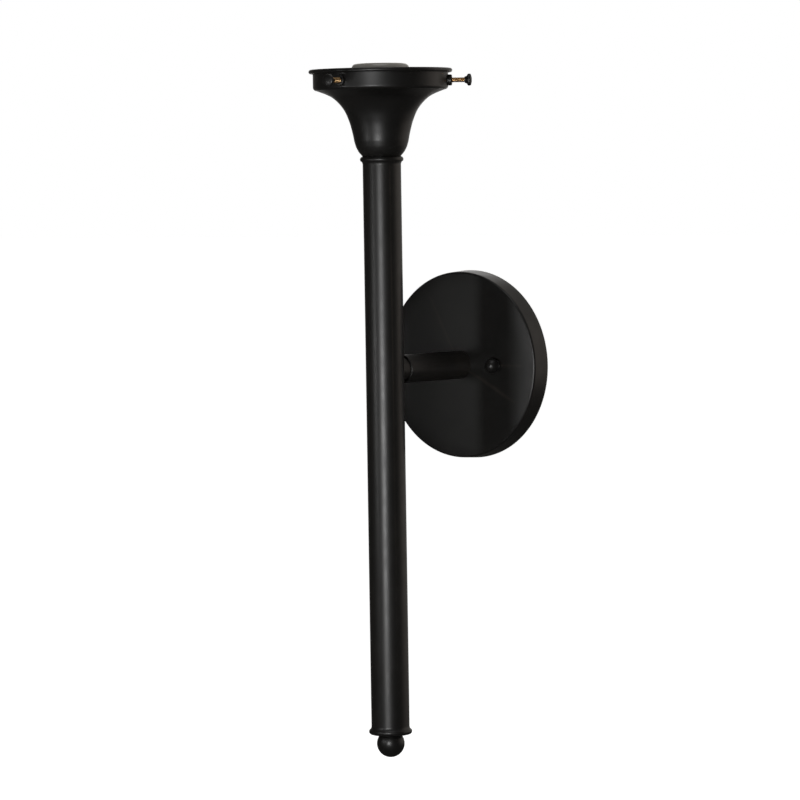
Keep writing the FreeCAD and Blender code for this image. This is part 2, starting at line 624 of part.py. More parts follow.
def holder_shape():
    """Spun bell with a flat foot, a bowl, a trumpet flare, a straight band and a rolled lip."""
    height = cell["holder_height"].value
    sheet_size = cell["holder_sheet"].value
    bowl = cell["bowl_round"].value
    throat = cell["throat_diameter"].value / 2
    band = band_radius.value
    foot = height - cell["band_height"].value
    foot_round = cell["band_foot_round"].value
    lip = cell["lip_diameter"].value / 2
    roll = cell["lip_roll"].value / 2
    # The flare leaves the bowl almost upright and reaches the band almost level. Each point
    # is a share of its width and of its height.
    width = band - foot_round - throat
    rise = foot - bowl
    shares = ((0.0, 0.0), (0.047, 0.175), (0.138, 0.412), (0.294, 0.65), (0.587, 0.868), (1.0, 1.0))
    stations = [Vector(throat + width * across, 0, bowl + rise * up) for across, up in shares]
    flare = Part.BSplineCurve()
    flare.interpolate(stations)
    inner = []
    for station in stations:
        along = flare.tangent(flare.parameter(station))[0]
        inner.append(station + Vector(-along.z, 0, along.x) * sheet_size)
    start = inner[0]
    inner[0] = Vector(throat - sheet_size, 0, start.z)
    inner_flare = Part.BSplineCurve()
    inner_flare.interpolate(inner)

    def line(first, last):
        return Part.LineSegment(first, last).toShape()

    def arc(first, middle, last):
        return Part.Arc(first, middle, last).toShape()

    def spoke(centre, radius, degrees):
        angle = math.radians(degrees)
        return centre + Vector(math.cos(angle), 0, math.sin(angle)) * radius

    hole = pipe_hole.value
    bowl_centre = Vector(throat - bowl, 0, bowl)
    bowl_start = spoke(bowl_centre, bowl, -90)
    bowl_end = spoke(bowl_centre, bowl, 0)
    bowl_inner_end = Vector(throat - sheet_size, 0, bowl)
    bowl_inner_start = Vector(bowl_centre.x, 0, sheet_size)
    foot_centre = Vector(band - foot_round, 0, foot + foot_round)
    inside_round = foot_round - sheet_size
    flare_end = stations[-1]
    lip_centre = Vector(lip - roll, 0, height - roll)
    lip_low = Vector(band, 0, height - 2 * roll)
    edges = [
        line(Vector(hole, 0, 0), bowl_start),
        arc(bowl_start, spoke(bowl_centre, bowl, -45), bowl_end),
        flare.toShape(),
        arc(flare_end, spoke(foot_centre, foot_round, -45), Vector(band, 0, foot_centre.z)),
        line(Vector(band, 0, foot_centre.z), lip_low),
        line(lip_low, Vector(lip_centre.x, 0, lip_low.z)),
        arc(Vector(lip_centre.x, 0, lip_low.z), spoke(lip_centre, roll, 0),
            Vector(lip_centre.x, 0, height)),
        line(Vector(lip_centre.x, 0, height), Vector(band - sheet_size, 0, height)),
        line(Vector(band - sheet_size, 0, height), Vector(band - sheet_size, 0, foot_centre.z)),
        arc(Vector(band - sheet_size, 0, foot_centre.z), spoke(foot_centre, inside_round, -45),
            Vector(foot_centre.x, 0, foot + sheet_size)),
        line(Vector(foot_centre.x, 0, foot + sheet_size), inner[-1]),
        inner_flare.toShape(),
        line(Vector(throat - sheet_size, 0, start.z), bowl_inner_end),
        arc(bowl_inner_end, spoke(bowl_centre, bowl - sheet_size, -45), bowl_inner_start),
        line(bowl_inner_start, Vector(hole, 0, sheet_size)),
        line(Vector(hole, 0, sheet_size), Vector(hole, 0, 0)),
    ]
    edges = [edge for edge in edges if edge.Length > 1e-6]
    outline = Part.Face(Part.Wire(Part.__sortEdges__(edges)))
    return outline.revolve(Vector(0, 0, 0), Vector(0, 0, 1), 360)


def screw_rotation(angle):
    """Turn that points a piece's own Z axis out of the band, towards one thumbscrew."""
    bearing = angle + cell["screw_turn"].value
    return Rotation(Vector(0, 0, 1), bearing).multiply(TO_ROOM)


screw_centre = (0, -reach, lip_top - cell["screw_height"])


def make_holder():
    """Shade holder with its three threaded bosses, clamped on the collar by a pipe and a nut."""
    blank = doc.addObject("Part::Feature", "holder_blank")
    blank.Shape = holder_shape()
    place(blank, (0, -reach, bell_foot))
    spigot = cell["boss_spigot"] / 2
    inside = band_radius - cell["holder_sheet"]
    holes = []
    bosses = []
    for name, angle in zip(SCREW_NAMES, SCREW_ANGLES):
        turn = screw_rotation(angle)
        holes.append(cylinder("holder_hole_" + name, spigot + cell["thread_gap"],
                              cell["holder_sheet"] + 2 * PAST, placed_out(inside - PAST, angle),
                              turn))
        outside = band_radius + cell["boss_height"]
        edge = cell["boss_edge"]
        radius = cell["boss_diameter"] / 2
        bore = cell["screw_thread"] / 2 + cell["running_gap"]
        rim = lathe("boss_rim_" + name, [
            (bore, inside),
            (radius, inside),
            (radius, outside - edge),
            (radius - edge, outside),
            (bore, outside),
        ], screw_centre, turn)
        band = cylinder("boss_band_" + name, band_radius, cell["boss_diameter"] * 2,
                        (0, -reach, screw_centre[2] - cell["boss_diameter"]))
        seat = cut("boss_seat_" + name, rim, band)
        stub = ring("boss_stub_" + name, spigot, bore, cell["holder_sheet"] + cell["boss_edge"],
                    placed_out(inside, angle), turn)
        bosses.append(fuse("boss_" + name, seat, stub))
    cut("shade_holder", blank, *holes)
    group("screw_bosses", *bosses)

    washer_foot = bell_foot + cell["holder_sheet"]
    nut_foot = washer_foot + cell["washer_thickness"]
    ring("holder_lock_washer", cell["washer_diameter"] / 2, pipe_hole, cell["washer_thickness"],
         (0, -reach, washer_foot))
    hex_nut("holder_hex_nut", cell["pipe_nut_flats"], cell["pipe_nut_thickness"], pipe_hole,
            (0, -reach, nut_foot))
    plug_foot = cell["stem_rise"] - cell["collar_plug"]
    pipe_foot = plug_foot - cell["pipe_nut_thickness"] - cell["pipe_end"]
    ring("holder_pipe", pipe_radius, cell["pipe_bore"] / 2,
         cap_foot + cell["cap_sheet"] - pipe_foot, (0, -reach, pipe_foot))
    hex_nut("stem_top_locknut", cell["pipe_nut_flats"], cell["pipe_nut_thickness"], pipe_hole,
            (0, -reach, plug_foot - cell["pipe_nut_thickness"]))


def placed_out(distance, angle):
    """A point that far out of the stem's axis, towards one thumbscrew."""
    distance = Size.of(distance)
    bearing = math.radians(angle + cell["screw_turn"].value)
    return (distance * math.sin(bearing), -reach - distance * math.cos(bearing), screw_centre[2])


def make_thumbscrews():
    """Three thumbscrews: a bare brass thread, and a black head on its outer end."""
    thread = cell["screw_thread"] / 2
    tip = cell["glass_neck_diameter"] / 2
    head_foot = band_radius + cell["boss_height"] + cell["screw_reach"]
    grip = cell["head_grip"]
    neck = cell["head_neck"] / 2
    cone = cell["head_cone"]
    rim = cell["head_rim"]
    radius = cell["head_diameter"] / 2
    dome = cell["head_dome"]
    bore = thread + cell["running_gap"]
    crown = (radius * radius + dome * dome) / (2 * dome)
    for name, angle in zip(SCREW_NAMES, SCREW_ANGLES):
        turn = screw_rotation(angle)
        lathe("%s_screw_thread" % name, [
            (0, tip),
            (thread - cell["screw_point"], tip),
            (thread, tip + cell["screw_point"]),
            (thread, head_foot + grip),
            (0, head_foot + grip),
        ], screw_centre, turn)
        lathe("%s_screw_head" % name, [
            (bore, head_foot),
            (neck, head_foot),
            (radius, head_foot + cone, -cell["head_flare"]),
            (radius, head_foot + cone + rim - dome),
            (0, head_foot + cone + rim, crown),
            (0, head_foot + grip + cell["running_gap"]),
            (bore, head_foot + grip + cell["running_gap"]),
        ], screw_centre, turn)


# ---------------------------------------------------------------- lampholder

def make_lampholder():
    """Porcelain lampholder with its screw shell, centre contact, metal cap and screws."""
    barrel = cell["lamp_diameter"] / 2
    foot = cell["lamp_foot_diameter"] / 2
    height = cell["lamp_height"]
    rounding = cell["lamp_rim_round"]
    shoulder = height - cell["lamp_barrel"]
    shell_outside = cell["shell_bore"] / 2 + cell["shell_sheet"]
    cavity = shell_outside + cell["shell_gap"]
    floor = height - cell["shell_depth"] - cell["shell_height"] - cell["shell_gap"]
    contact_floor = floor - cell["contact_pocket"]
    body = lathe("lamp_blank", [
        (0, 0),
        (foot, 0),
        (foot, shoulder - cell["lamp_shoulder"]),
        (barrel, shoulder),
        (barrel, height - rounding),
        (barrel - rounding, height, rounding),
        (cavity, height),
        (cavity, floor),
        (cell["shell_hole"] / 2, floor),
        (cell["shell_hole"] / 2, contact_floor),
        (0, contact_floor),
    ], (0, -reach, lamp_foot))
    channel = cell["lead_channel"] / 2
    terminal = cell["terminal_thread"] / 2
    depth = foot - cell["lead_terminal"]
    tools = []
    terminals = []
    cap_screws = []
    terminal_z = lamp_foot + cell["terminal_height"]
    screw_hole = cell["cap_screw_thread"] / 2 + cell["thread_gap"]
    screw_length = cell["cap_height"] + cell["cap_screw_bite"]
    recess = cell["terminal_recess"]
    for side in (-1, 1):
        turn = Rotation(Vector(0, 1, 0), 90 * side)
        tools.append(cylinder("lamp_channel_%d" % side, channel,
                              cell["terminal_height"] + cell["terminal_thread"] + PAST,
                              (side * cell["lead_terminal"], -reach, lamp_foot - PAST)))
        seat = (side * (foot - recess), -reach, terminal_z)
        tools.append(cylinder("terminal_hole_%d" % side, terminal + cell["thread_gap"], depth,
                              (side * (foot - depth), -reach, terminal_z), turn))
        tools.append(cylinder("terminal_flat_%d" % side,
                              cell["terminal_head"] / 2 + cell["terminal_room"],
                              recess + cell["terminal_head_height"], seat, turn))
        shank = cylinder("terminal_shank_%d" % side, terminal,
                         foot - recess - cell["lead_terminal"] - lead_radius,
                         (side * (cell["lead_terminal"] + lead_radius), -reach, terminal_z), turn)
        head = cylinder("terminal_head_%d" % side, cell["terminal_head"] / 2,
                        cell["terminal_head_height"], seat, turn)
        terminals.append(fuse("terminal_%d" % side, shank, head))
        screw_y = -reach + side * cell["cap_screw_place"]
        tools.append(cylinder("cap_screw_hole_%d" % side, screw_hole,
                              screw_length + cell["blind_room"], (0, screw_y, cap_foot)))
        shank = cylinder("cap_screw_shank_%d" % side, cell["cap_screw_thread"] / 2, screw_length,
                         (0, screw_y, cap_foot))
        head = cylinder("cap_screw_head_%d" % side, cell["cap_screw_head"] / 2,
                        cell["cap_screw_head_height"],
                        (0, screw_y, cap_foot - cell["cap_screw_head_height"]))
        cap_screws.append(fuse("cap_screw_%d" % side, shank, head))
    cut("lampholder_body", body, *tools)
    group("terminal_screws", *terminals)
    group("lampholder_cap_screws", *cap_screws)

    lathe("screw_shell", [
        (cell["shell_hole"] / 2, 0),
        (shell_outside, 0),
        (shell_outside, cell["shell_height"]),
        (cell["shell_bore"] / 2, cell["shell_height"]),
        (cell["shell_bore"] / 2, cell["shell_sheet"]),
        (cell["shell_hole"] / 2, cell["shell_sheet"]),
    ], (0, -reach, lamp_foot + floor))
    contact = box("contact_blade", cell["contact_length"], cell["contact_width"],
                  cell["contact_sheet"],
                  (-cell["contact_length"] / 2, -reach - cell["contact_width"] / 2,
                   lamp_foot + contact_floor))
    dimple = doc.addObject("Part::Sphere", "contact_dimple")
    bind(dimple, Radius=cell["contact_width"] / 2)
    place(dimple, (0, -reach, lamp_foot + contact_floor))
    under = cylinder("contact_under", cell["contact_width"], cell["contact_width"],
                     (0, -reach, lamp_foot + contact_floor - cell["contact_width"]))
    fuse("centre_contact", contact, cut("contact_button", dimple, under))

    rim = cell["lamp_foot_diameter"] / 2
    wall = cell["cap_sheet"]
    hub = cell["cap_hub_diameter"] / 2
    hub_foot = bell_foot + cell["holder_sheet"] + cell["washer_thickness"] + cell[
        "pipe_nut_thickness"]
    hub_height = cap_foot - hub_foot
    cup = lathe("cap_blank", [
        (pipe_hole, -hub_height),
        (hub, -hub_height),
        (hub, 0),
        (rim, 0),
        (rim, cell["cap_height"]),
        (rim - wall, cell["cap_height"]),
        (rim - wall, wall),
        (pipe_hole, wall),
    ], (0, -reach, cap_foot))
    set_screw_z = cap_foot - hub_height / 2
    holes = [cylinder("cap_set_hole", cell["set_screw_thread"] / 2 + cell["thread_gap"], hub,
                      (0, -reach, set_screw_z), TO_RIGHT)]
    for side in (-1, 1):
        holes.append(cylinder("cap_hole_%d" % side, screw_hole, wall + 2 * PAST,
                              (0, -reach + side * cell["cap_screw_place"], cap_foot - PAST)))
    cut("lampholder_cap", cup, *holes)
    cylinder("cap_set_screw", cell["set_screw_thread"] / 2, hub - pipe_hole,
             (pipe_hole, -reach, set_screw_z), TO_RIGHT)


# ---------------------------------------------------------------- leads

def lead_shape(name, corners, bends, radius):
    """A round lead along straight runs joined by tangent arcs at its inner corners."""
    edges = []
    start = corners[0]
    for before, corner, after, bend in zip(corners, corners[1:], corners[2:], bends):
        back = (before - corner).normalize()
        ahead = (after - corner).normalize()
        half_turn = (math.pi - back.getAngle(ahead)) / 2
        setback = bend * math.tan(half_turn)
        first = corner + back * setback
        last = corner + ahead * setback
        inward = (back + ahead).normalize()
        middle = corner + inward * (bend / math.cos(half_turn) - bend)
        edges.append(Part.LineSegment(start, first).toShape())
        edges.append(Part.Arc(first, middle, last).toShape())
        start = last
    edges.append(Part.LineSegment(start, corners[-1]).toShape())
    spine = Part.Wire(edges)
    heading = (corners[1] - corners[0]).normalize()
    circle = Part.Circle(corners[0], heading, radius)
    section = Part.Wire(circle.toShape())
    solid = spine.makePipeShell([section], True, False)
    expected = spine.Length * math.pi * radius ** 2
    print("%s: length %.1f mm, bends %s mm, volume %.1f of %.1f mm3"
          % (name, spine.Length, list(bends), solid.Volume, expected))
    return solid


def make_leads():
    """Two leads from the lampholder down the stem, through the arm, to the wire connectors."""
    offset = cell["lead_offset"].value
    axis_y = -reach.value
    bend = cell["lead_bend"].value
    sweep = cell["lead_sweep"].value
    outlet = cell["lead_terminal"].value
    slope = math.radians(cell["lead_spread"].value)
    # The leads part inside the metal cap, between the pipe's end and the porcelain, and turn
    # up behind the canopy as soon as they have left the arm's pipe.
    fan_foot = cap_foot.value + cell["cap_sheet"].value * 2
    fan_top = lamp_foot.value - cell["lead_diameter"].value
    turn_y = bend - arm_pipe_depth.value
    connectors = []
    for name, side in (("line_lead", 1), ("neutral_lead", -1)):
        uphill = Vector(side * math.sin(slope), 0, math.cos(slope))
        elbow = Vector(side * offset, turn_y, 0)
        mouth = elbow + uphill * cell["connector_place"].value
        corners = [
            Vector(side * outlet, axis_y, lamp_foot.value + cell["terminal_height"].value),
            Vector(side * outlet, axis_y, fan_top),
            Vector(side * offset, axis_y, fan_foot),
            Vector(side * offset, axis_y, 0),
            elbow,
            mouth,
        ]
        lead = doc.addObject("Part::Feature", name)
        lead.Shape = lead_shape(name, corners, (bend, bend, sweep, bend), lead_radius.value)
        leaning = Rotation(Vector(0, 1, 0), side * cell["lead_spread"].value)
        connectors.append(lathe("connector_%d" % side, [
            (0, 0),
            (cell["connector_mouth"] / 2, 0),
            (cell["connector_diameter"] / 2, cell["connector_skirt"]),
            (cell["connector_tip"] / 2, cell["connector_length"]),
            (0, cell["connector_length"]),
        ], (mouth.x, mouth.y, mouth.z), leaning))
    group("wire_connectors", *connectors)


# ---------------------------------------------------------------- build, check and write

make_canopy()
make_crossbar()
make_studs()
make_ground_screw()
make_arm()
make_stem()
make_finial()
make_holder()
make_thumbscrews()
make_lampholder()
make_leads()
make_ground_lead()
doc.recompute()

NODES = [
    "canopy", "crossbar", "canopy_studs", "stud_locknuts", "ball_cap_nuts", "ground_screw",
    "arm_tube", "arm_centring_ring", "arm_neck_bush", "arm_pipe", "arm_lock_washer",
    "arm_hex_nut", "stem_tube", "stem_top_collar", "stem_bottom_collar", "ball_finial",
    "finial_pipe", "finial_locknut", "shade_holder", "screw_bosses", "holder_lock_washer",
    "holder_hex_nut", "holder_pipe", "stem_top_locknut", "lampholder_body", "terminal_screws",
    "lampholder_cap_screws", "screw_shell", "centre_contact", "lampholder_cap", "cap_set_screw",
    "line_lead", "neutral_lead", "ground_lead", "wire_connectors",
]
NODES += ["%s_screw_thread" % name for name in SCREW_NAMES]
NODES += ["%s_screw_head" % name for name in SCREW_NAMES]

for thing in doc.Objects:
    faults = [state for state in thing.State if state in ("Invalid", "Error")]
    if faults:
        raise RuntimeError("%s is %s" % (thing.Name, ", ".join(faults)))

os.makedirs("parts", exist_ok=True)
for node in NODES:
    piece = doc.getObject(node)
    piece.Label = node
    if piece.Shape.isNull() or not piece.Shape.isValid():
        raise RuntimeError("%s has no valid shape" % node)
    piece.Shape.exportStep("parts/%s.step" % node)
    print("%-24s solids %d volume %.1f" % (node, len(piece.Shape.Solids), piece.Shape.Volume))
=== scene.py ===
"""Looks of a wall torch light: canopy, arm, stem, ball finial, bell shade holder and lampholder.

Lengths in the classes are millimetres and become metres where a mesh is made. +Z is up, the
wall is the plane Y = 0 with the room towards -Y, and +X is to the right seen from the room.
"""

import logging
import math
from dataclasses import dataclass
from enum import Enum
from typing import Callable, List, Optional, Sequence, Tuple

import bmesh
import bpy
from mathutils import Euler, Matrix, Vector


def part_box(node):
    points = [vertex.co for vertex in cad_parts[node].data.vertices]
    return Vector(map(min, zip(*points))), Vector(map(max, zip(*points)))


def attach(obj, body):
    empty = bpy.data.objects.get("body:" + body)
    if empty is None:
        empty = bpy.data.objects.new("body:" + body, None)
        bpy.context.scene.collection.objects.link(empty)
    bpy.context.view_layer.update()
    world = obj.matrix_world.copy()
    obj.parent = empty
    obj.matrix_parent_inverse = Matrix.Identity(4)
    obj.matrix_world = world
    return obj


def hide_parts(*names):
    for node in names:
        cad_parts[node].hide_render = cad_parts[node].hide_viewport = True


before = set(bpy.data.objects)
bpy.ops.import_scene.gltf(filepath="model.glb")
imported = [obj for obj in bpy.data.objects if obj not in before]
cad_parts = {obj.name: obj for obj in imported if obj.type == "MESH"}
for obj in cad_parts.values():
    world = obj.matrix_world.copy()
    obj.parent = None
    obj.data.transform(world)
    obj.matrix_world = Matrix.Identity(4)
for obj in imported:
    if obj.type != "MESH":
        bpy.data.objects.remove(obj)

LOG = logging.getLogger("torch_light")
MM = 0.001
FULL_TURN = 2 * math.pi
MERGE = 1e-6  # metres within which two vertices are one
SMOOTH_ANGLE = math.radians(32)
TURNED_STEPS = 128  # facets round a turned piece
FINE_STEPS = 192  # facets round one that shows large

# Millimetres that several sub-assemblies share: hole radii, an eased edge, a tool's overlap.
PIPE_HOLE = 4.84
STUD_TAP = 2.125
BURR = 0.15
CLEAR = 0.02

Colour = Tuple[float, float, float]
Point = Tuple[float, float]
Place = Tuple[float, float, float]
Piece = bpy.types.Object
Socket = bpy.types.NodeSocket


# ---------------------------------------------------------------- places

@dataclass(frozen=True)
class Axis:
    """The axis that a turned piece is made about: a point in millimetres and a turn."""

    name: str
    origin: Place
    turn: Place = (0.0, 0.0, 0.0)

    def matrix(self) -> Matrix:
        """Placement from the piece's own upright frame to the room."""
        turn = Euler([math.radians(angle) for angle in self.turn]).to_matrix().to_4x4()
        return Matrix.Translation(Vector(self.origin) * MM) @ turn

    def moved(self, name: str, along: float) -> "Axis":
        """The same axis, starting further along itself."""
        shift = self.matrix().to_3x3() @ Vector((0, 0, along))
        return Axis(name, tuple(Vector(self.origin) + shift), self.turn)


class Toward(Enum):
    """Turns that point a piece's own Z axis somewhere."""

    UP = (0.0, 0.0, 0.0)
    DOWN = (180.0, 0.0, 0.0)
    ROOM = (90.0, 0.0, 0.0)
    RIGHT = (0.0, 90.0, 0.0)
    LEFT = (0.0, -90.0, 0.0)


def span(node: str) -> Tuple[Vector, Vector]:
    """Lowest and highest corner of a node, in millimetres."""
    low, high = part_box(node)
    return low / MM, high / MM


def half_width(node: str) -> float:
    """Half of a node's width along X, in millimetres."""
    low, high = span(node)
    return (high.x - low.x) / 2


# ---------------------------------------------------------------- finishes

class Shader:
    """A material's node tree while it is being wired."""

    def __init__(self, name: str) -> None:
        """Start an empty node tree with a surface shader on its output.

        Args:
            name: the material's name.
        """
        self.material = bpy.data.materials.new(name)
        self.material.use_nodes = True
        self.tree = self.material.node_tree
        self.tree.nodes.clear()
        self.surface = self.add("ShaderNodeBsdfPrincipled")
        output = self.add("ShaderNodeOutputMaterial")
        self.link(self.surface.outputs["BSDF"], output.inputs["Surface"])

    def add(self, kind: str, **values: object) -> bpy.types.Node:
        """Add a node and set its properties, or else its sockets, by name.

        Args:
            kind: the node's type.
            values: property or socket names, with underscores for spaces.

        Returns:
            The new node.
        """
        node = self.tree.nodes.new(kind)
        for key, value in values.items():
            if hasattr(node, key):
                setattr(node, key, value)
            else:
                node.inputs[key.replace("_", " ")].default_value = value
        return node

    def link(self, source: Socket, target: Socket) -> None:
        """Wire one socket to another."""
        self.tree.links.new(source, target)

    def maths(self, operation: str, first: object, second: object = 0.0) -> Socket:
        """A Math node fed by sockets or numbers.

        Args:
            operation: the operation's name.
            first: socket or number.
            second: socket or number.

        Returns:
            The result's socket.
        """
        node = self.add("ShaderNodeMath", operation=operation)
        for socket, value in zip(node.inputs, (first, second)):
            if isinstance(value, Socket):
                self.link(value, socket)
            else:
                socket.default_value = value
        return node.outputs[0]

    def noise(self, place: Optional[Socket], scale: float, detail: float,
              along: Optional[Socket] = None) -> Socket:
        """Noise in space, or along one measure where `along` is given.

        Args:
            place: point that the noise reads.
            scale: cells in a metre.
            detail: octaves.
            along: a measure in metres, read in place of the point.

        Returns:
            The noise's socket.
        """
        node = self.add("ShaderNodeTexNoise", Scale=scale, Detail=detail)
        if along is not None:
            node.noise_dimensions = "1D"
            self.link(along, node.inputs["W"])
        else:
            self.link(place, node.inputs["Vector"])
        return node.outputs[0]

    def between(self, value: Socket, low: float, high: float,
                span: Tuple[float, float] = (0.3, 0.7)) -> Socket:
        """Map a noise onto a range.

        Args:
            value: the noise.
            low: result at the span's start.
            high: result at the span's end.
            span: part of the noise that counts.

        Returns:
            The mapped value's socket.
        """
        node = self.add("ShaderNodeMapRange", From_Min=span[0], From_Max=span[1],
                        To_Min=low, To_Max=high)
        self.link(value, node.inputs["Value"])
        return node.outputs["Result"]

    def mix(self, share: Socket, first: Colour,
            second: Colour) -> Socket:
        """Blend two colours by a share from 0 to 1.

        Args:
            share: how much of the second shows.
            first: colour at 0.
            second: colour at 1.

        Returns:
            The blended colour's socket.
        """
        node = self.add("ShaderNodeMix", data_type="RGBA")
        self.link(share, node.inputs[0])
        node.inputs[6].default_value = (*first, 1)
        node.inputs[7].default_value = (*second, 1)
        return node.outputs[2]

    def bump(self, height: Socket, depth: float, strength: float,
             below: Optional[Socket] = None) -> Socket:
        """A bump layer of that depth in metres on top of another.

        Args:
            height: the height that it reads.
            depth: depth in metres.
            strength: share of the layer.
            below: normal of the layer below.

        Returns:
            The bumped normal's socket.
        """
        node = self.add("ShaderNodeBump", Distance=depth, Strength=strength)
        self.link(height, node.inputs["Height"])
        if below is not None:
            self.link(below, node.inputs["Normal"])
        return node.outputs["Normal"]


FLECK_SPAN = (0.66, 0.78)
WORN_SPAN = (0.53, 0.60)
RADIUS_SHARE = 0.73


class Grain(Enum):
    """How a surface was worked."""

    TURNED = "tool lines round the piece's own axis"
    ROLLED = "lines along the piece's own X axis"
    MOULDED = "no lines"


@dataclass(frozen=True)
class Finish:
    """A surface finish: its colour, how it shines and the marks that it carries.

    Colours are linear. Scales are cells in a metre and depths are metres.
    """

    name: str
    slot: str
    colour: Colour
    aged: Colour
    roughness: float
    uneven: float
    metallic: float = 0.0
    specular: float = 0.5
    coat: float = 0.0
    coat_roughness: float = 0.1
    line_scale: float = 2600.0
    line_depth: float = 0.0
    peel_scale: float = 900.0
    peel_depth: float = 0.0
    cloud_scale: float = 45.0
    fleck: float = 0.0
    fleck_colour: Colour = (0.2, 0.18, 0.15)
    edge: float = 0.0
    edge_colour: Colour = (0.1, 0.08, 0.06)

    def material(self, axis: Axis, grain: Grain = Grain.TURNED) -> bpy.types.Material:
        """The finish on a piece worked about one axis, made once and then reused.

        Args:
            axis: the piece's own axis, which centres the tool lines.
            grain: how the surface was worked.

        Returns:
            The material.
        """
        name = "%s_%s_%s" % (self.name, axis.name, grain.name.lower())
        if name in bpy.data.materials:
            return bpy.data.materials[name]
        shader = Shader(name)
        centred = self._centred(shader, axis)
        cloud = shader.noise(centred, self.cloud_scale, 4.0)
        self._paint(shader, centred, cloud)
        self._gloss(shader, centred)
        self._relief(shader, centred, grain)
        return shader.material

    @staticmethod
    def _centred(shader: Shader, axis: Axis) -> Socket:
        """Object coordinates seen from the piece's own axis.

        Args:
            shader: the material being wired.
            axis: the piece's own axis.

        Returns:
            The moved point's socket.
        """
        place = shader.add("ShaderNodeTexCoord")
        inverse = axis.matrix().inverted()
        mapping = shader.add("ShaderNodeMapping", vector_type="POINT")
        mapping.inputs["Location"].default_value = inverse.to_translation()
        mapping.inputs["Rotation"].default_value = inverse.to_euler()
        shader.link(place.outputs["Object"], mapping.inputs["Vector"])
        return mapping.outputs["Vector"]

    def _paint(self, shader: Shader, centred: Socket,
               cloud: Socket) -> None:
        """Colour: a slow change of tone, small flecks, and worn edges.

        Args:
            shader: the material being wired.
            centred: point that the marks read.
            cloud: slow noise that the tone follows.
        """
        tone = shader.mix(shader.between(cloud, 0.0, 1.0), self.colour, self.aged)
        if self.fleck:
            specks = shader.noise(centred, self.peel_scale * 2.3, 2.0)
            tone = self._over(shader, tone, shader.between(specks, 0.0, self.fleck, FLECK_SPAN),
                              self.fleck_colour)
        if self.edge:
            geometry = shader.add("ShaderNodeNewGeometry")
            rubbed = shader.between(geometry.outputs["Pointiness"], 0.0, self.edge, WORN_SPAN)
            patchy = shader.between(cloud, 0.25, 1.0)
            tone = self._over(shader, tone, shader.maths("MULTIPLY", rubbed, patchy),
                              self.edge_colour)
        shader.link(tone, shader.surface.inputs["Base Color"])

    @staticmethod
    def _over(shader: Shader, tone: Socket, share: Socket,
              colour: Colour) -> Socket:
        """Lay a colour over a tone by a share.

        Args:
            shader: the material being wired.
            tone: the tone below.
            share: how much of the colour shows.
            colour: the colour on top.

        Returns:
            The new tone's socket.
        """
        node = shader.add("ShaderNodeMix", data_type="RGBA")
        shader.link(share, node.inputs[0])
        shader.link(tone, node.inputs[6])
        node.inputs[7].default_value = (*colour, 1)
        return node.outputs[2]

    def _gloss(self, shader: Shader, centred: Socket) -> None:
        """Uneven roughness, and the plain shares on the shader's own sockets.

        Args:
            shader: the material being wired.
            centred: point that the smears read.
        """
        smears = shader.noise(centred, self.cloud_scale * 3.1, 5.0)
        low, high = self.roughness - self.uneven, self.roughness + self.uneven
        shader.link(shader.between(smears, low, high), shader.surface.inputs["Roughness"])
        for socket, value in (("Metallic", self.metallic), ("Specular IOR Level", self.specular),
                              ("Coat Weight", self.coat), ("Coat Roughness", self.coat_roughness)):
            shader.surface.inputs[socket].default_value = value

    def _relief(self, shader: Shader, centred: Socket, grain: Grain) -> None:
        """Tool lines under a fine peel.

        Args:
            shader: the material being wired.
            centred: point that the lines read.
            grain: how the surface was worked.
        """
        normal = None
        if self.line_depth and grain is not Grain.MOULDED:
            parts = shader.add("ShaderNodeSeparateXYZ")
            shader.link(centred, parts.inputs[0])
            across, depth, height = parts.outputs
            if grain is Grain.TURNED:
                squares = shader.maths("ADD", shader.maths("MULTIPLY", across, across),
                                       shader.maths("MULTIPLY", depth, depth))
                radius = shader.maths("MULTIPLY", shader.maths("SQRT", squares), RADIUS_SHARE)
                measure = shader.maths("ADD", height, radius)
            else:
                measure = shader.maths("ADD", height, depth)
            lines = shader.noise(None, self.line_scale, 3.0, measure)
            normal = shader.bump(lines, self.line_depth, 1.0)
        if self.peel_depth:
            peel = shader.noise(centred, self.peel_scale, 3.0)
            normal = shader.bump(peel, self.peel_depth, 1.0, normal)
        if normal is not None:
            shader.link(normal, shader.surface.inputs["Normal"])


SATIN_BLACK = Finish("satin_black", "satin_black", (0.0034, 0.0032, 0.0029),
                     (0.0050, 0.0046, 0.0041), 0.39, 0.03, specular=0.5, line_scale=2400.0,
                     line_depth=4e-6, peel_scale=1500.0, peel_depth=5e-6, fleck=0.30,
                     fleck_colour=(0.022, 0.019, 0.016), edge=0.30,
                     edge_colour=(0.035, 0.027, 0.021))
BARE_BRASS = Finish("bare_brass", "bare_brass", (0.56, 0.36, 0.17), (0.40, 0.24, 0.11), 0.34, 0.06,
                    metallic=1.0, line_scale=5200.0, line_depth=3e-6, cloud_scale=220.0)
ZINC_PLATE = Finish("zinc_plate", "zinc_steel", (0.64, 0.64, 0.63), (0.50, 0.51, 0.50), 0.33, 0.08,
                    metallic=1.0, line_scale=3800.0, line_depth=3e-6, peel_scale=2600.0,
                    peel_depth=3e-6, cloud_scale=160.0, fleck=0.4, fleck_colour=(0.72, 0.72, 0.70))
# Painted shade: the white porcelain's colour and aged tone are a darker warm grey, as the glaze
# looks in shade.
SHADE_GREYED_PORCELAIN = Finish("porcelain_glaze", "white_porcelain", (0.27, 0.26, 0.235), (0.22, 0.21, 0.19),
                   0.20, 0.05, coat=0.4, coat_roughness=0.06, peel_scale=420.0, peel_depth=1.4e-5,
                   cloud_scale=60.0, fleck=0.5, fleck_colour=(0.30, 0.26, 0.20))
BARE_COPPER = Finish("bare_copper", "copper_wire", (0.74, 0.40, 0.26), (0.50, 0.26, 0.17), 0.32,
                     0.08, metallic=1.0, peel_scale=1800.0, peel_depth=3e-6, cloud_scale=260.0)
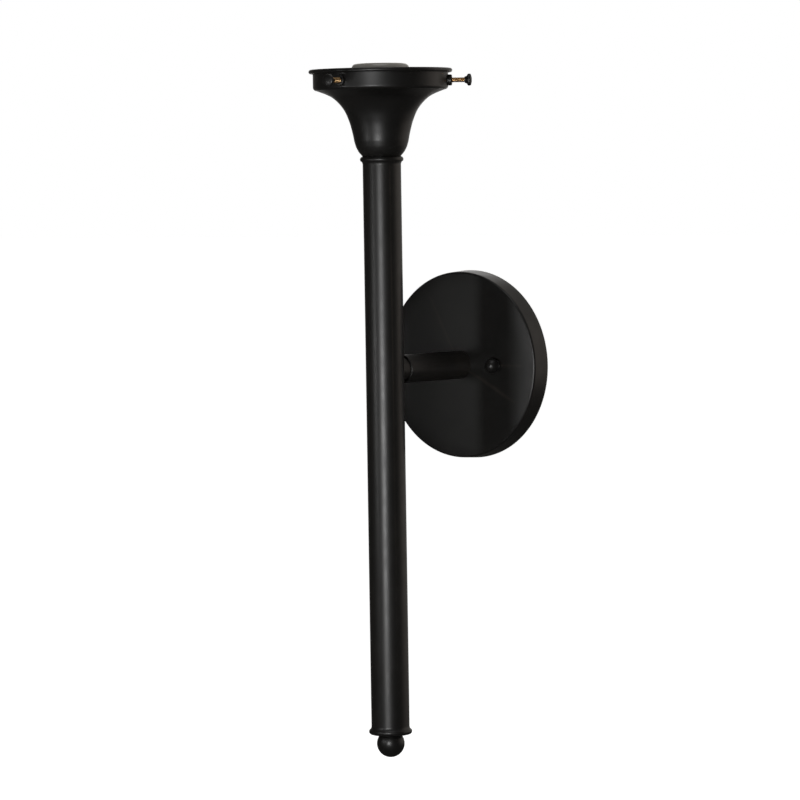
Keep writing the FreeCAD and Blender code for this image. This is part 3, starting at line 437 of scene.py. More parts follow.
GREEN_PAINT = Finish("green_paint", "green_steel", (0.03, 0.22, 0.075), (0.045, 0.27, 0.10), 0.38,
                     0.06, peel_scale=1700.0, peel_depth=6e-6, cloud_scale=200.0, edge=0.4,
                     edge_colour=(0.45, 0.45, 0.43))
BLACK_SLEEVE = Finish("black_insulation", "black_insulation", (0.022, 0.022, 0.022),
                      (0.032, 0.031, 0.030), 0.46, 0.05, peel_scale=2200.0, peel_depth=4e-6)
WHITE_SLEEVE = Finish("white_insulation", "white_insulation", (0.74, 0.74, 0.71),
                      (0.66, 0.65, 0.61), 0.44, 0.05, peel_scale=2200.0, peel_depth=4e-6)
ORANGE_SHELL = Finish("connector_plastic", "connector_plastic", (0.70, 0.25, 0.04),
                      (0.58, 0.19, 0.03), 0.40, 0.05, peel_scale=1400.0, peel_depth=7e-6,
                      cloud_scale=120.0)


# ---------------------------------------------------------------- modelling by hand

class Outline:
    """An outline of (radius, height) points in millimetres, drawn run by run."""

    def __init__(self, radius: float, height: float) -> None:
        """Start at one point."""
        self.points: List[Point] = [(radius, height)]

    def to(self, radius: float, height: float) -> "Outline":
        """A straight run to a point."""
        self.points.append((radius, height))
        return self

    def arc(self, centre: Point, radius: float, first: float, last: float,
            steps: int = 6) -> "Outline":
        """An arc about a centre, from one angle to another in degrees.

        Args:
            centre: the arc's centre.
            radius: its radius.
            first: start angle, 0 outwards and 90 up.
            last: end angle.
            steps: runs along the arc.

        Returns:
            The outline itself.
        """
        for step in range(steps + 1):
            angle = math.radians(first + (last - first) * step / steps)
            point = (centre[0] + radius * math.cos(angle), centre[1] + radius * math.sin(angle))
            if math.dist(point, self.points[-1]) > 1e-4:
                self.points.append(point)
        return self

    def bow(self, radius: float, height: float, curve: float, steps: int = 6) -> "Outline":
        """An arc to a point, of a given radius, which turns to the left where it is positive.

        Args:
            radius: the end point's distance from the axis.
            height: the end point's height.
            curve: the arc's own radius.
            steps: runs along the arc.

        Returns:
            The outline itself.
        """
        start, end = Vector(self.points[-1]), Vector((radius, height))
        chord = end - start
        rise = math.sqrt(max(curve * curve - chord.length_squared / 4, 0.0))
        side = Vector((-chord.y, chord.x)).normalized()
        centre = (start + end) / 2 + side * math.copysign(rise, curve)
        first, last = (math.degrees(math.atan2(*(point - centre).yx)) for point in (start, end))
        if curve > 0 and last < first:
            last += 360
        if curve < 0 and last > first:
            last -= 360
        self.arc(tuple(centre), abs(curve), first, last, steps)
        self.points[-1] = (radius, height)
        return self

    def through(self, stations: Sequence[Point], steps: int = 6) -> "Outline":
        """A smooth run through stations, tangent to its neighbours.

        Args:
            stations: points, of which the first and last are its ends.
            steps: runs between two stations.

        Returns:
            The outline itself.
        """
        ends = [stations[0], *stations, stations[-1]]
        for before, first, last, after in zip(ends, ends[1:], ends[2:], ends[3:]):
            for step in range(1, steps + 1):
                share = step / steps
                self.points.append(tuple(
                    hermite(first[axis], last[axis], (last[axis] - before[axis]) / 2,
                            (after[axis] - first[axis]) / 2, share) for axis in (0, 1)))
        return self


def hermite(first: float, last: float, leaving: float, arriving: float, share: float) -> float:
    """Value on a cubic between two values with given slopes.

    Args:
        first: value at the start.
        last: value at the end.
        leaving: slope at the start.
        arriving: slope at the end.
        share: place between the two, from 0 to 1.

    Returns:
        The value there.
    """
    square, cube = share * share, share * share * share
    return ((2 * cube - 3 * square + 1) * first + (cube - 2 * square + share) * leaving
            + (3 * square - 2 * cube) * last + (cube - square) * arriving)


class Bench:
    """Hand modelling steps on one piece at a time."""

    @staticmethod
    def clear() -> None:
        """Leave edit mode and select nothing."""
        if bpy.context.object is not None and bpy.context.object.mode != "OBJECT":
            bpy.ops.object.mode_set(mode="OBJECT")
        bpy.ops.object.select_all(action="DESELECT")

    @staticmethod
    def take(piece: Piece) -> Piece:
        """Select one piece alone and make it active.

        Args:
            piece: the piece to select.

        Returns:
            The same piece.
        """
        Bench.clear()
        piece.select_set(True)
        bpy.context.view_layer.objects.active = piece
        return piece

    @staticmethod
    def begin(name: str) -> Piece:
        """Name the primitive that was just added.

        Args:
            name: its name.

        Returns:
            The new piece.
        """
        piece = bpy.context.object
        piece.name = name
        piece.data.name = name
        return piece

    @staticmethod
    def block(name: str, middle: Sequence[float], size: Sequence[float]) -> Piece:
        """Add a box.

        Args:
            name: the box's name.
            middle: its middle in millimetres.
            size: its size in millimetres.

        Returns:
            The box.
        """
        Bench.clear()
        bpy.ops.mesh.primitive_cube_add(size=1, location=[part * MM for part in middle],
                                        scale=[part * MM for part in size])
        return Bench.begin(name)

    @staticmethod
    def rod(name: str, radius: float, length: float, middle: Sequence[float],
            turn: Sequence[float], sides: int) -> Piece:
        """Add a round or many sided rod.

        Args:
            name: the rod's name.
            radius: its radius in millimetres.
            length: its length in millimetres.
            middle: its middle in metres.
            turn: its turn in radians.
            sides: facets round it.

        Returns:
            The rod.
        """
        Bench.clear()
        bpy.ops.mesh.primitive_cylinder_add(vertices=sides, radius=radius * MM,
                                            depth=length * MM, location=middle, rotation=turn)
        return Bench.begin(name)

    @staticmethod
    def edit(piece: Piece) -> bmesh.types.BMesh:
        """Open a piece in edit mode with nothing selected.

        Args:
            piece: the piece to open.

        Returns:
            Its mesh in edit mode.
        """
        Bench.take(piece)
        bpy.ops.object.mode_set(mode="EDIT")
        bpy.ops.mesh.select_mode(type="VERT")
        bpy.ops.mesh.select_all(action="DESELECT")
        return bmesh.from_edit_mesh(piece.data)

    @staticmethod
    def close() -> None:
        """Go back to object mode."""
        bpy.ops.object.mode_set(mode="OBJECT")

    @staticmethod
    def pick(piece: Piece, wanted: Callable[[object], bool], kind: str = "FACE") -> int:
        """In edit mode, select the faces, edges or vertices that pass a test.

        Args:
            piece: the piece in edit mode.
            wanted: test of one element.
            kind: FACE, EDGE or VERT.

        Returns:
            How many were selected.
        """
        bpy.ops.mesh.select_mode(type=kind)
        bpy.ops.mesh.select_all(action="DESELECT")
        shape = bmesh.from_edit_mesh(piece.data)
        group = {"FACE": shape.faces, "EDGE": shape.edges, "VERT": shape.verts}[kind]
        found = 0
        for element in group:
            if wanted(element):
                element.select_set(True)
                found += 1
        shape.select_flush_mode()
        bmesh.update_edit_mesh(piece.data)
        return found

    @staticmethod
    def tidy() -> None:
        """In edit mode, merge doubles and point all faces outwards."""
        bpy.ops.mesh.select_all(action="SELECT")
        bpy.ops.mesh.remove_doubles(threshold=MERGE)
        bpy.ops.mesh.select_all(action="SELECT")
        bpy.ops.mesh.normals_make_consistent(inside=False)

    @staticmethod
    def draw(name: str, points: Sequence[Place], closed: bool) -> Piece:
        """Draw a line of vertices, each extruded from the last.

        Args:
            name: the piece's name.
            points: points in millimetres.
            closed: whether the last point joins the first.

        Returns:
            The piece, left in edit mode with everything selected.
        """
        start = Vector(points[0]) * MM
        Bench.clear()
        bpy.ops.mesh.primitive_plane_add(size=MM, location=(0, 0, 0))
        piece = Bench.begin(name)
        bpy.ops.object.mode_set(mode="EDIT")
        bpy.ops.mesh.select_mode(type="VERT")
        bpy.ops.mesh.select_all(action="SELECT")
        bpy.ops.mesh.merge(type="CENTER")
        bpy.ops.transform.translate(value=start)
        for before, after in zip(points, points[1:]):
            step = (Vector(after) - Vector(before)) * MM
            bpy.ops.mesh.extrude_vertices_move(TRANSFORM_OT_translate={"value": step})
        if closed:
            ends = [Vector(point) * MM for point in (points[0], points[-1])]
            Bench.pick(piece, lambda vertex: min(
                (vertex.co - end).length for end in ends) < MERGE, "VERT")
            bpy.ops.mesh.edge_face_add()
        bpy.ops.mesh.select_all(action="SELECT")
        return piece

    @staticmethod
    def lathe(name: str, outline: Outline, closed: bool = True,
              steps: int = 96) -> Piece:
        """Turn an outline about the Z axis.

        Args:
            name: the piece's name.
            outline: points from the axis outwards, or round a ring.
            closed: whether the outline closes on itself.
            steps: facets round the axis.

        Returns:
            The piece, upright on its own axis.
        """
        points = [(radius, 0.0, height) for radius, height in outline.points]
        piece = Bench.draw(name, points, closed)
        bpy.ops.mesh.spin(steps=steps, angle=FULL_TURN, center=(0, 0, 0), axis=(0, 0, 1))
        Bench.tidy()
        Bench.close()
        return piece

    @staticmethod
    def apply(piece: Piece, kind: str, **settings: object) -> Piece:
        """Add a modifier to a piece, set it and apply it.

        Args:
            piece: the piece.
            kind: the modifier's type.
            settings: its properties by name.

        Returns:
            The same piece.
        """
        Bench.take(piece)
        modifier = piece.modifiers.new(kind.lower(), kind)
        for key, value in settings.items():
            setattr(modifier, key, value)
        bpy.ops.object.modifier_apply(modifier=modifier.name)
        return piece

    @staticmethod
    def ease(piece: Piece, width: float, segments: int = 3,
             angle: float = 28.0) -> Piece:
        """Round the sharp edges of a piece by a width in millimetres."""
        return Bench.apply(piece, "BEVEL", width=width * MM, segments=segments,
                           limit_method="ANGLE", angle_limit=math.radians(angle),
                           use_clamp_overlap=True, miter_outer="MITER_ARC")

    @staticmethod
    def mend(piece: Piece) -> Piece:
        """Merge the doubles that a bevel leaves and close its pinholes.

        Args:
            piece: the piece to mend.

        Returns:
            The same piece.
        """
        Bench.edit(piece)
        bpy.ops.mesh.select_all(action="SELECT")
        bpy.ops.mesh.remove_doubles(threshold=MERGE * 5)
        bpy.ops.mesh.select_all(action="SELECT")
        bpy.ops.mesh.fill_holes(sides=12)
        Bench.tidy()
        Bench.close()
        return piece

    @staticmethod
    def drill(piece: Piece, radius: float, start: Sequence[float], length: float,
              toward: Place = Toward.UP.value,
              sides: int = 40) -> Piece:
        """Cut a round hole.

        Args:
            piece: the piece to cut.
            radius: radius of the hole in millimetres.
            start: middle of the hole's open end.
            length: how deep it goes.
            toward: turn from the Z axis to the drill's direction, in degrees.
            sides: facets round the hole.

        Returns:
            The piece.
        """
        turn = Euler([math.radians(angle) for angle in toward])
        heading = turn.to_matrix() @ Vector((0, 0, 1))
        middle = (Vector(start) + heading * length / 2) * MM
        return Bench.cut(piece, Bench.rod("drill", radius, length, middle, turn, sides))

    @staticmethod
    def cut(piece: Piece, tool: Piece,
            operation: str = "DIFFERENCE") -> Piece:
        """Take a tool's shape out of a piece and throw the tool away.

        Args:
            piece: the piece to cut.
            tool: the shape to cut with.
            operation: how the two are set against each other.

        Returns:
            The same piece.
        """
        Bench.apply(piece, "BOOLEAN", operation=operation, object=tool, solver="EXACT")
        bpy.data.objects.remove(tool, do_unlink=True)
        return piece

    @staticmethod
    def trim(low: float, high: float, capped: bool) -> None:
        """In edit mode, cut the open piece flat at two heights in millimetres.

        Args:
            low: lower height.
            high: upper height.
            capped: whether the cuts are closed.
        """
        for height, inner, outer in ((low, True, False), (high, False, True)):
            bpy.ops.mesh.select_all(action="SELECT")
            bpy.ops.mesh.bisect(plane_co=(0, 0, height * MM), plane_no=(0, 0, 1), use_fill=capped,
                                clear_inner=inner, clear_outer=outer, threshold=MERGE)

    @staticmethod
    def smooth(piece: Piece) -> Piece:
        """Shade a piece smooth but for its sharp edges, and keep its flats flat.

        Args:
            piece: the piece to shade.

        Returns:
            The same piece.
        """
        Bench.take(piece)
        bpy.ops.object.shade_smooth_by_angle(angle=SMOOTH_ANGLE)
        return Bench.apply(piece, "WEIGHTED_NORMAL", mode="FACE_AREA", weight=50, keep_sharp=True)

    @staticmethod
    def join(name: str, pieces: Sequence[Piece]) -> Piece:
        """Join loose shells into one piece.

        Args:
            name: name of the whole.
            pieces: the shells.

        Returns:
            The whole.
        """
        Bench.clear()
        for piece in pieces:
            piece.select_set(True)
        bpy.context.view_layer.objects.active = pieces[0]
        bpy.ops.object.join()
        return Bench.begin(name)

    @staticmethod
    def copy(piece: Piece, name: str) -> Piece:
        """Duplicate a piece with a mesh of its own.

        Args:
            piece: the piece to copy.
            name: the copy's name.

        Returns:
            The copy.
        """
        Bench.take(piece)
        bpy.ops.object.duplicate(linked=False)
        return Bench.begin(name)

    @staticmethod
    def set_on(piece: Piece, axis: Axis) -> Piece:
        """Move an upright piece onto its axis and leave its place in its mesh.

        Args:
            piece: the upright piece.
            axis: the axis that it goes on.

        Returns:
            The same piece.
        """
        Bench.take(piece)
        piece.matrix_world = axis.matrix() @ piece.matrix_world
        return Bench.settle(piece)

    @staticmethod
    def settle(piece: Piece) -> Piece:
        """Put a piece's place, turn and size into its mesh."""
        bpy.ops.object.transform_apply(location=True, rotation=True, scale=True)
        return piece


@dataclass(frozen=True)
class Thread:
    """A V thread cut on a rod, with a bore where it is a pipe."""

    diameter: float
    pitch: float
    depth: float
    bore: float = 0.0
    steps: int = 20

    def make(self, name: str, length: float, point: float = 0.0) -> Piece:
        """A threaded rod or pipe from height 0 up.

        Args:
            name: the piece's name.
            length: its length in millimetres.
            point: taper of its lower end, 0 for a square end.

        Returns:
            The rod, upright on its own axis.
        """
        crest = self.diameter / 2
        low = crest - self.depth
        flat = self.pitch / 8
        start = -2 * self.pitch
        profile = [(low, 0, start), (low, 0, start + flat), (crest, 0, start + self.pitch / 2),
                   (crest, 0, start + self.pitch / 2 + flat), (low, 0, start + self.pitch)]
        rod = Bench.draw(name, profile, False)
        Bench.close()
        turns = math.ceil(length / self.pitch) + 4
        Bench.apply(rod, "SCREW", axis="Z", angle=FULL_TURN, screw_offset=self.pitch * MM,
                    iterations=turns, steps=self.steps, render_steps=self.steps,
                    use_merge_vertices=True, merge_threshold=MERGE)
        Bench.edit(rod)
        Bench.tidy()
        Bench.trim(0.0, length, not self.bore)
        if self.bore:
            self._bore(rod, length)
        Bench.tidy()
        Bench.close()
        if point:
            self._point(rod, point, length)
        return rod

    def _bore(self, rod: Piece, length: float) -> None:
        """In edit mode, add the bore and bridge it to both cut ends.

        Args:
            rod: the rod in edit mode.
            length: its length.
        """
        bpy.ops.mesh.select_mode(type="VERT")
        bpy.ops.mesh.select_all(action="DESELECT")
        bpy.ops.mesh.primitive_circle_add(vertices=self.steps, radius=self.bore / 2 * MM,
                                          fill_type="NOTHING", location=(0, 0, 0))
        bpy.ops.mesh.extrude_edges_move(TRANSFORM_OT_translate={"value": (0, 0, length * MM)})
        for height in (0.0, length):
            Bench.pick(rod, lambda edge: edge.is_boundary and all(
                abs(vertex.co.z - height * MM) < MERGE * 5 for vertex in edge.verts), "EDGE")
            bpy.ops.mesh.bridge_edge_loops()

    def _point(self, rod: Piece, point: float, length: float) -> None:
        """Turn the lower end down to a blunt point.

        Args:
            rod: the rod.
            point: the taper's size.
            length: the rod's length.
        """
        crest = self.diameter / 2
        form = Outline(0, 0).to(crest - point, 0).to(crest + CLEAR, point)
        form.to(crest + CLEAR, length + 1).to(0, length + 1)
        Bench.cut(rod, Bench.lathe("point_tool", form, False, 32), "INTERSECT")


PIPE_THREAD = Thread(9.6, 0.94, 0.42, bore=6.6, steps=32)
STUD_THREAD = Thread(4.17, 0.79, 0.42)
GROUND_THREAD = Thread(4.8, 0.79, 0.45)
THUMB_THREAD = Thread(3.5, 0.794, 0.40)
SMALL_THREAD = Thread(2.8, 0.6, 0.30, steps=16)
SET_THREAD = Thread(3.0, 0.6, 0.30, steps=16)
TERMINAL_THREAD = Thread(3.5, 0.794, 0.40, steps=16)


# ---------------------------------------------------------------- hardware made more than once

class Hardware:
    """Nuts, washers and screw heads, each upright from height 0."""

    edge: float = 0.1
    chamfer: float = 0.1
    chamfer_slope: float = 0.55
    driver_slot: float = 1.2
    tooth_edge: float = 0.08
    tooth_root: float = 0.78
    tooth_thin: float = 0.15
    tooth_notch: float = 0.84

    @staticmethod
    def hex_nut(name: str, flats: float, height: float, bore: float,
                slot: float = 0.0) -> Piece:
        """A hexagon nut, chamfered on both faces.

        Args:
            name: the nut's name.
            flats: size across flats.
            height: thickness.
            bore: radius of its hole, 0 for a solid head.
            slot: depth of a driver slot in its upper face, 0 for none.

        Returns:
            The nut.
        """
        corner = flats / math.sqrt(3)
        nut = Bench.rod(name, corner, height, (0, 0, height / 2 * MM), (0, 0, math.pi / 6), 6)
        chamfer = corner - flats / 2 + Hardware.chamfer
        drop = chamfer * Hardware.chamfer_slope
        form = Outline(0, 0).to(corner - chamfer, 0).to(corner + CLEAR / 2, drop)
        form.to(corner + CLEAR / 2, height - drop).to(corner - chamfer, height).to(0, height)
        Bench.cut(nut, Bench.lathe("chamfers", form, False, 60), "INTERSECT")
        if bore:
            Bench.drill(nut, bore, (0, 0, -1), height + 2)
        if slot:
            Bench.cut(nut, Bench.block("slot", (0, 0, height),
                                       (flats * 2, Hardware.driver_slot, slot * 2)))
        return Bench.mend(Bench.ease(nut, Hardware.edge, 2))

    @staticmethod
    def tooth_washer(name: str, outer: float, inner: float, height: float,
                     teeth: int = 12) -> Piece:
        """A lock washer with teeth round its outside.

        Args:
            name: the washer's name.
            outer: radius over the teeth.
            inner: radius of its hole.
            height: thickness.
            teeth: how many teeth.

        Returns:
            The washer.
        """
        root, thin = outer * Hardware.tooth_root, Hardware.tooth_thin
        outline = Outline(inner, 0).to(root, 0).to(outer, height * thin)
        outline.to(outer, height * (1 - thin)).to(root, height).to(inner, height)
        washer = Bench.lathe(name, outline, True, teeth * 6)
        Bench.edit(washer)
        pitch = FULL_TURN / teeth
        Bench.pick(washer, lambda vertex: vertex.co.xy.length > outer * 0.9 * MM and (
            math.atan2(vertex.co.y, vertex.co.x) + pitch / 12) % pitch < pitch * 0.42, "VERT")
        notch = Hardware.tooth_notch
        bpy.ops.transform.resize(value=(notch, notch, 1), center_override=(0, 0, 0))
        Bench.close()
        return Bench.ease(washer, Hardware.tooth_edge, 2)

    @staticmethod
    def flute(piece: Piece, low: float, high: float, least: float, count: int,
              share: float) -> None:
        """Press grooves into the side of a turned piece.

        Args:
            piece: the piece, upright on its axis.
            low: lowest height of the grooves.
            high: highest height of the grooves.
            least: radius beyond which the side lies.
            count: grooves round the piece, a whole share of its facets.
            share: radius of a groove's floor, as a share of the side's.
        """
        Bench.edit(piece)
        pitch = FULL_TURN / count
        Bench.pick(piece, lambda vertex: low * MM - MERGE < vertex.co.z < high * MM + MERGE
                   and vertex.co.xy.length > least * MM
                   and (math.atan2(vertex.co.y, vertex.co.x) + pitch / 8) % pitch < pitch * 0.4,
                   "VERT")
        bpy.ops.transform.resize(value=(share, share, 1), center_override=(0, 0, 0))
        Bench.close()

    @staticmethod
    def slotted_head(name: str, radius: float, height: float, crown: float,
                     slot: float) -> Piece:
        """A pan head with a driver slot in its upper face.

        Args:
            name: the head's name.
            radius: the head's radius.
            height: its full height.
            crown: how much of the height is crown.
            slot: width of the slot.

        Returns:
            The head.
        """
        side = height - crown
        curve = (radius * radius + crown * crown) / (2 * crown)
        outline = Outline(0, 0).to(radius, 0).to(radius, side).bow(0, height, curve, 8)
        head = Bench.lathe(name, outline, False, 48)
        Bench.cut(head, Bench.block("slot", (0, 0, height), (radius * 3, slot, height * 1.1)))
        return Bench.ease(head, Hardware.edge, 2)


class Fitting(Enum):
    """Standard parts of the threaded pipes, each with the ending of its piece's name."""

    PIPE = "threaded"
    NUT = "chamfered"
    WASHER = "toothed"

    def make(self, node: str, across: float, length: float) -> Piece:
        """The part, upright from height 0.

        Args:
            node: the node that it stands for.
            across: its size across.
            length: its length or thickness.

        Returns:
            The part.
        """
        name = node + "_" + self.value
        if self is Fitting.PIPE:
            return PIPE_THREAD.make(name, length)
        if self is Fitting.NUT:
            return Hardware.hex_nut(name, across, length, PIPE_HOLE)
        return Hardware.tooth_washer(name, across / 2, PIPE_HOLE, length)


@dataclass
class SubAssembly:
    """Pieces that are made and dressed together."""

    def dress(self, piece: Piece, node: str, finish: Finish, axis: Axis,
              grain: Grain = Grain.TURNED, body: str = "root") -> Piece:
        """Give a new piece its finish and put it in its node's place.

        Args:
            piece: the finished mesh, in place.
            node: the node that it stands for.
            finish: its surface finish.
            axis: the axis it was worked about.
            grain: how its surface was worked.
            body: the body that it moves with.

        Returns:
            The piece.
        """
        Bench.smooth(piece)
        piece.data.materials.clear()
        piece.data.materials.append(finish.material(axis, grain))
        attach(piece, body)
        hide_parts(node)
        LOG.info("%-28s for %-24s %6d faces", piece.name, node, len(piece.data.polygons))
        return piece

    def put_in(self, node: str, fitting: Fitting, along: str = "z", across: str = "y") -> None:
        """Make a standard part at its node's size and put it in the node's place.

        Args:
            node: the node that it stands for.
            fitting: which part it is.
            along: z on the stem's axis, y on the arm's.
            across: the direction in which the node is measured across.
        """
        low, high = span(node)
        piece = fitting.make(node, getattr(high, across) - getattr(low, across),
                             getattr(high, along) - getattr(low, along))
        axis, start = stem_axis(), stem_axis(low.z)
        if along == "y":
            axis, start = ARM, ARM.moved("fitting", -high.y)
        self.dress(Bench.set_on(piece, start), node, ZINC_PLATE, axis)

    @staticmethod
    def dress_node(node: str, finish: Finish, axis: Axis, grain: Grain = Grain.TURNED) -> None:
        """Give a node that keeps its own shape a better finish.

        Args:
            node: the node.
            finish: its surface finish.
            axis: the axis it was worked about.
            grain: how its surface was worked.
        """
        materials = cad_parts[node].data.materials
        materials.clear()
        materials.append(finish.material(axis, grain))
        LOG.info("%-28s keeps its shape, dressed as %s", node, finish.name)


# ---------------------------------------------------------------- wall canopy

WALL = Axis("wall", (0.0, 0.0, 0.0), Toward.ROOM.value)


@dataclass
class Canopy(SubAssembly):
    """Spun canopy with the crossbar, studs, ground screw and wire connectors behind it."""

    rear_radius: float = 63.9
    edge_radius: float = 1.6
    sheet: float = 1.2
    crown_start: float = 52.0
    crown_drop: float = 0.4
    inner_corner: float = 0.3
    front_radius: float = 63.1
    stud_hole: float = 2.165
    stud_place: float = 31.75
    bar_corner: float = 3.0
    slot_place: float = 44.45
    slot_width: float = 4.8
    slot_length: float = 8.6
    ground_place: float = 17.5
    ground_hole: float = 2.44
    thread_point: float = 0.3
    ribs: int = 12

    def build(self) -> None:
        """Make and dress every piece of the canopy."""
        self.depth = -span("canopy")[0].y
        self.pan()
        self.crossbar()
        for name, side in (("left", -1), ("right", 1)):
            self.stud(name, side)
            self.cap_nut(name, side)
        self.ground_screw()
        self.connectors()
        self.dress_node("ground_lead", BARE_COPPER, WALL, Grain.MOULDED)

    def pan(self) -> None:
        """The spun pan, with a face that falls away a little towards its rounded edge."""
        inside = self.depth - self.sheet
        centre = (self.front_radius - self.edge_radius, self.depth - self.crown_drop
                  - self.edge_radius)
        run = centre[0] - self.crown_start
        curve = (run * run + self.crown_drop ** 2) / (2 * self.crown_drop)
        lean = math.degrees(math.asin(run / curve))
        outline = Outline(self.rear_radius - self.sheet, 0).to(self.rear_radius, 0)
        outline.to(self.front_radius, centre[1]).arc(centre, self.edge_radius, 0, 90 - lean, 10)
        outline.bow(self.crown_start, self.depth, curve, 8).to(PIPE_HOLE, self.depth)
        outline.to(PIPE_HOLE, inside).to(self.crown_start, inside)
        outline.to(centre[0] - self.inner_corner, inside - self.crown_drop)
        outline.to(self.front_radius - self.sheet, centre[1] - self.sheet)
        pan = Bench.set_on(Bench.lathe("canopy_pan", outline, True, FINE_STEPS), WALL)
        for side in (-1, 1):
            Bench.drill(pan, self.stud_hole, (side * self.stud_place, 0, 0), self.depth + 1,
                        Toward.ROOM.value)
        self.dress(Bench.ease(pan, BURR, 2), "canopy", SATIN_BLACK, WALL)

    def crossbar(self) -> None:
        """Punched steel bar with rounded corners and two screw slots."""
        low, high = span("crossbar")
        size, middle = high - low, (high + low) / 2
        bar = Bench.settle(Bench.block("crossbar_plate", middle, size))
        Bench.edit(bar)
        Bench.pick(bar, lambda edge: abs(edge.verts[0].co.y - edge.verts[1].co.y) > MM, "EDGE")
        bpy.ops.mesh.bevel(offset=self.bar_corner * MM, segments=6, affect="EDGES")
        Bench.close()
        deep = size.y + 2
        holes = [(0.0, PIPE_HOLE), (self.ground_place, self.ground_hole)]
        holes += [(side * self.stud_place, STUD_TAP) for side in (-1, 1)]
        half = (self.slot_length - self.slot_width) / 2
        for side in (-1, 1):
            holes += [(side * self.slot_place + end * half, self.slot_width / 2) for end in (-1, 1)]
            Bench.cut(bar, Bench.block("slot", (side * self.slot_place, -size.y / 2, 0),
                                       (half * 2, deep, self.slot_width)))
        for place, radius in holes:
            Bench.drill(bar, radius, (place, 1, 0), deep, Toward.ROOM.value)
        self.dress(Bench.ease(bar, BURR, 2), "crossbar", ZINC_PLATE, WALL, Grain.ROLLED)

    def stud(self, name: str, side: int) -> None:
        """A threaded stud and its locking nut.

        Args:
            name: left or right.
            side: -1 or 1.
        """
        axis = Axis("stud_" + name, (side * self.stud_place, 0.0, 0.0), Toward.ROOM.value)
        length = -span("canopy_studs")[0].y
        stud = STUD_THREAD.make("stud_" + name, length, self.thread_point)
        self.dress(Bench.set_on(stud, axis), "canopy_studs", ZINC_PLATE, axis)
        low, high = span("stud_locknuts")
        nut = Hardware.hex_nut("stud_locknut_" + name, high.z - low.z, high.y - low.y, STUD_TAP)
        Bench.set_on(nut, axis.moved("nut", -high.y))
        self.dress(nut, "stud_locknuts", ZINC_PLATE, axis)

    def cap_nut(self, name: str, side: int) -> None:
        """A ball cap nut: a low collar, a waist and a ball, tapped from behind.

        Args:
            name: left or right.
            side: -1 or 1.
        """
        ball, neck, waist, height = 4.9, 3.6, 2.9, 1.6
        bore, deep, drill_tip = 2.13, 6.2, 6.5
        edge, bead, groove = 0.2, 0.36, 0.7
        centre = height + math.sqrt(ball * ball - waist * waist)
        outline = Outline(0, drill_tip).to(bore, deep).to(bore, 0)
        outline.to(neck - edge, 0).to(neck, edge)
        outline.to(neck, height - groove).bow(neck - 0.35, height - 0.3, bead, 4)
        outline.to(waist + 0.05, height - 0.06).to(waist, height)
        lowest = math.degrees(math.asin((height - centre) / ball))
        outline.arc((0, centre), ball, lowest, 90, 18)
        outline.points[-1] = (0.0, centre + ball)
        axis = Axis("cap_" + name, (side * self.stud_place, -self.depth, 0.0), Toward.ROOM.value)
        nut = Bench.set_on(Bench.lathe("ball_cap_nut_" + name, outline, False, 64), axis)
        self.dress(nut, "ball_cap_nuts", SATIN_BLACK, axis)

    def ground_screw(self) -> None:
        """Green hexagon headed screw with a driver slot."""
        head_height, flats, overlap, driver_slot = 3.2, 7.9, 0.2, 1.1
        axis = Axis("ground", (self.ground_place, 0.0, 0.0), Toward.ROOM.value)
        seat = -span("ground_screw")[0].y - head_height
        shank = Bench.set_on(GROUND_THREAD.make("shank", seat + overlap, self.thread_point),
                             axis)
        head = Hardware.hex_nut("head", flats, head_height, 0.0, driver_slot)
        Bench.set_on(head, axis.moved("head", seat))
        screw = Bench.join("ground_screw_slotted", [head, shank])
        self.dress(screw, "ground_screw", GREEN_PAINT, axis)

    def connectors(self) -> None:
        """Two ribbed wire connectors, leaning outwards behind the canopy."""
        lean, length = 35.0, 17.0
        mouth_radius, skirt_radius, skirt, tip = 3.5, 4.2, 4.2, 2.5
        wire_hole, funnel, funnel_depth, lip, shoulder, crown = 1.5, 2.9, 1.4, 0.2, 0.4, 1.0
        low, high = span("wire_connectors")
        slope = math.radians(lean)
        top = high.z - tip * math.sin(slope)
        mouth_z = top - length * math.cos(slope)
        mouth_x = high.x - max(tip * math.cos(slope) + length * math.sin(slope),
                               skirt_radius * math.cos(slope) + skirt * math.sin(slope))
        for name, side in (("line", 1), ("neutral", -1)):
            outline = Outline(0, 0).to(wire_hole, 0).to(wire_hole, funnel_depth)
            outline.to(funnel, funnel_depth).to(funnel + 0.1, lip).to(mouth_radius, lip)
            outline.to(skirt_radius, skirt).to(skirt_radius - 0.25, skirt + shoulder)
            outline.to(tip + 0.35, length - crown).bow(tip - 0.5, length, 0.9, 4).to(0, length)
            shell = Bench.lathe("wire_connector_" + name, outline, False, self.ribs * 6)
            Hardware.flute(shell, skirt + 0.3, length - 0.9, 1.0, self.ribs, 0.93)
            axis = Axis("connector_" + name, (side * mouth_x, (low.y + high.y) / 2, mouth_z),
                        (0.0, side * lean, 0.0))
            self.dress(Bench.set_on(Bench.ease(shell, 0.12, 2), axis), "wire_connectors",
                       ORANGE_SHELL, axis, Grain.MOULDED)


# ---------------------------------------------------------------- arm and stem

ARM = Axis("arm", (0.0, 0.0, 0.0), Toward.ROOM.value)


def stem_axis(height: float = 0.0, toward: Toward = Toward.UP) -> Axis:
    """The stem's axis, starting at a height."""
    low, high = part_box("stem_tube")
    middle = (low + high) / 2 / MM
    return Axis("stem", (middle.x, middle.y, height), toward.value)


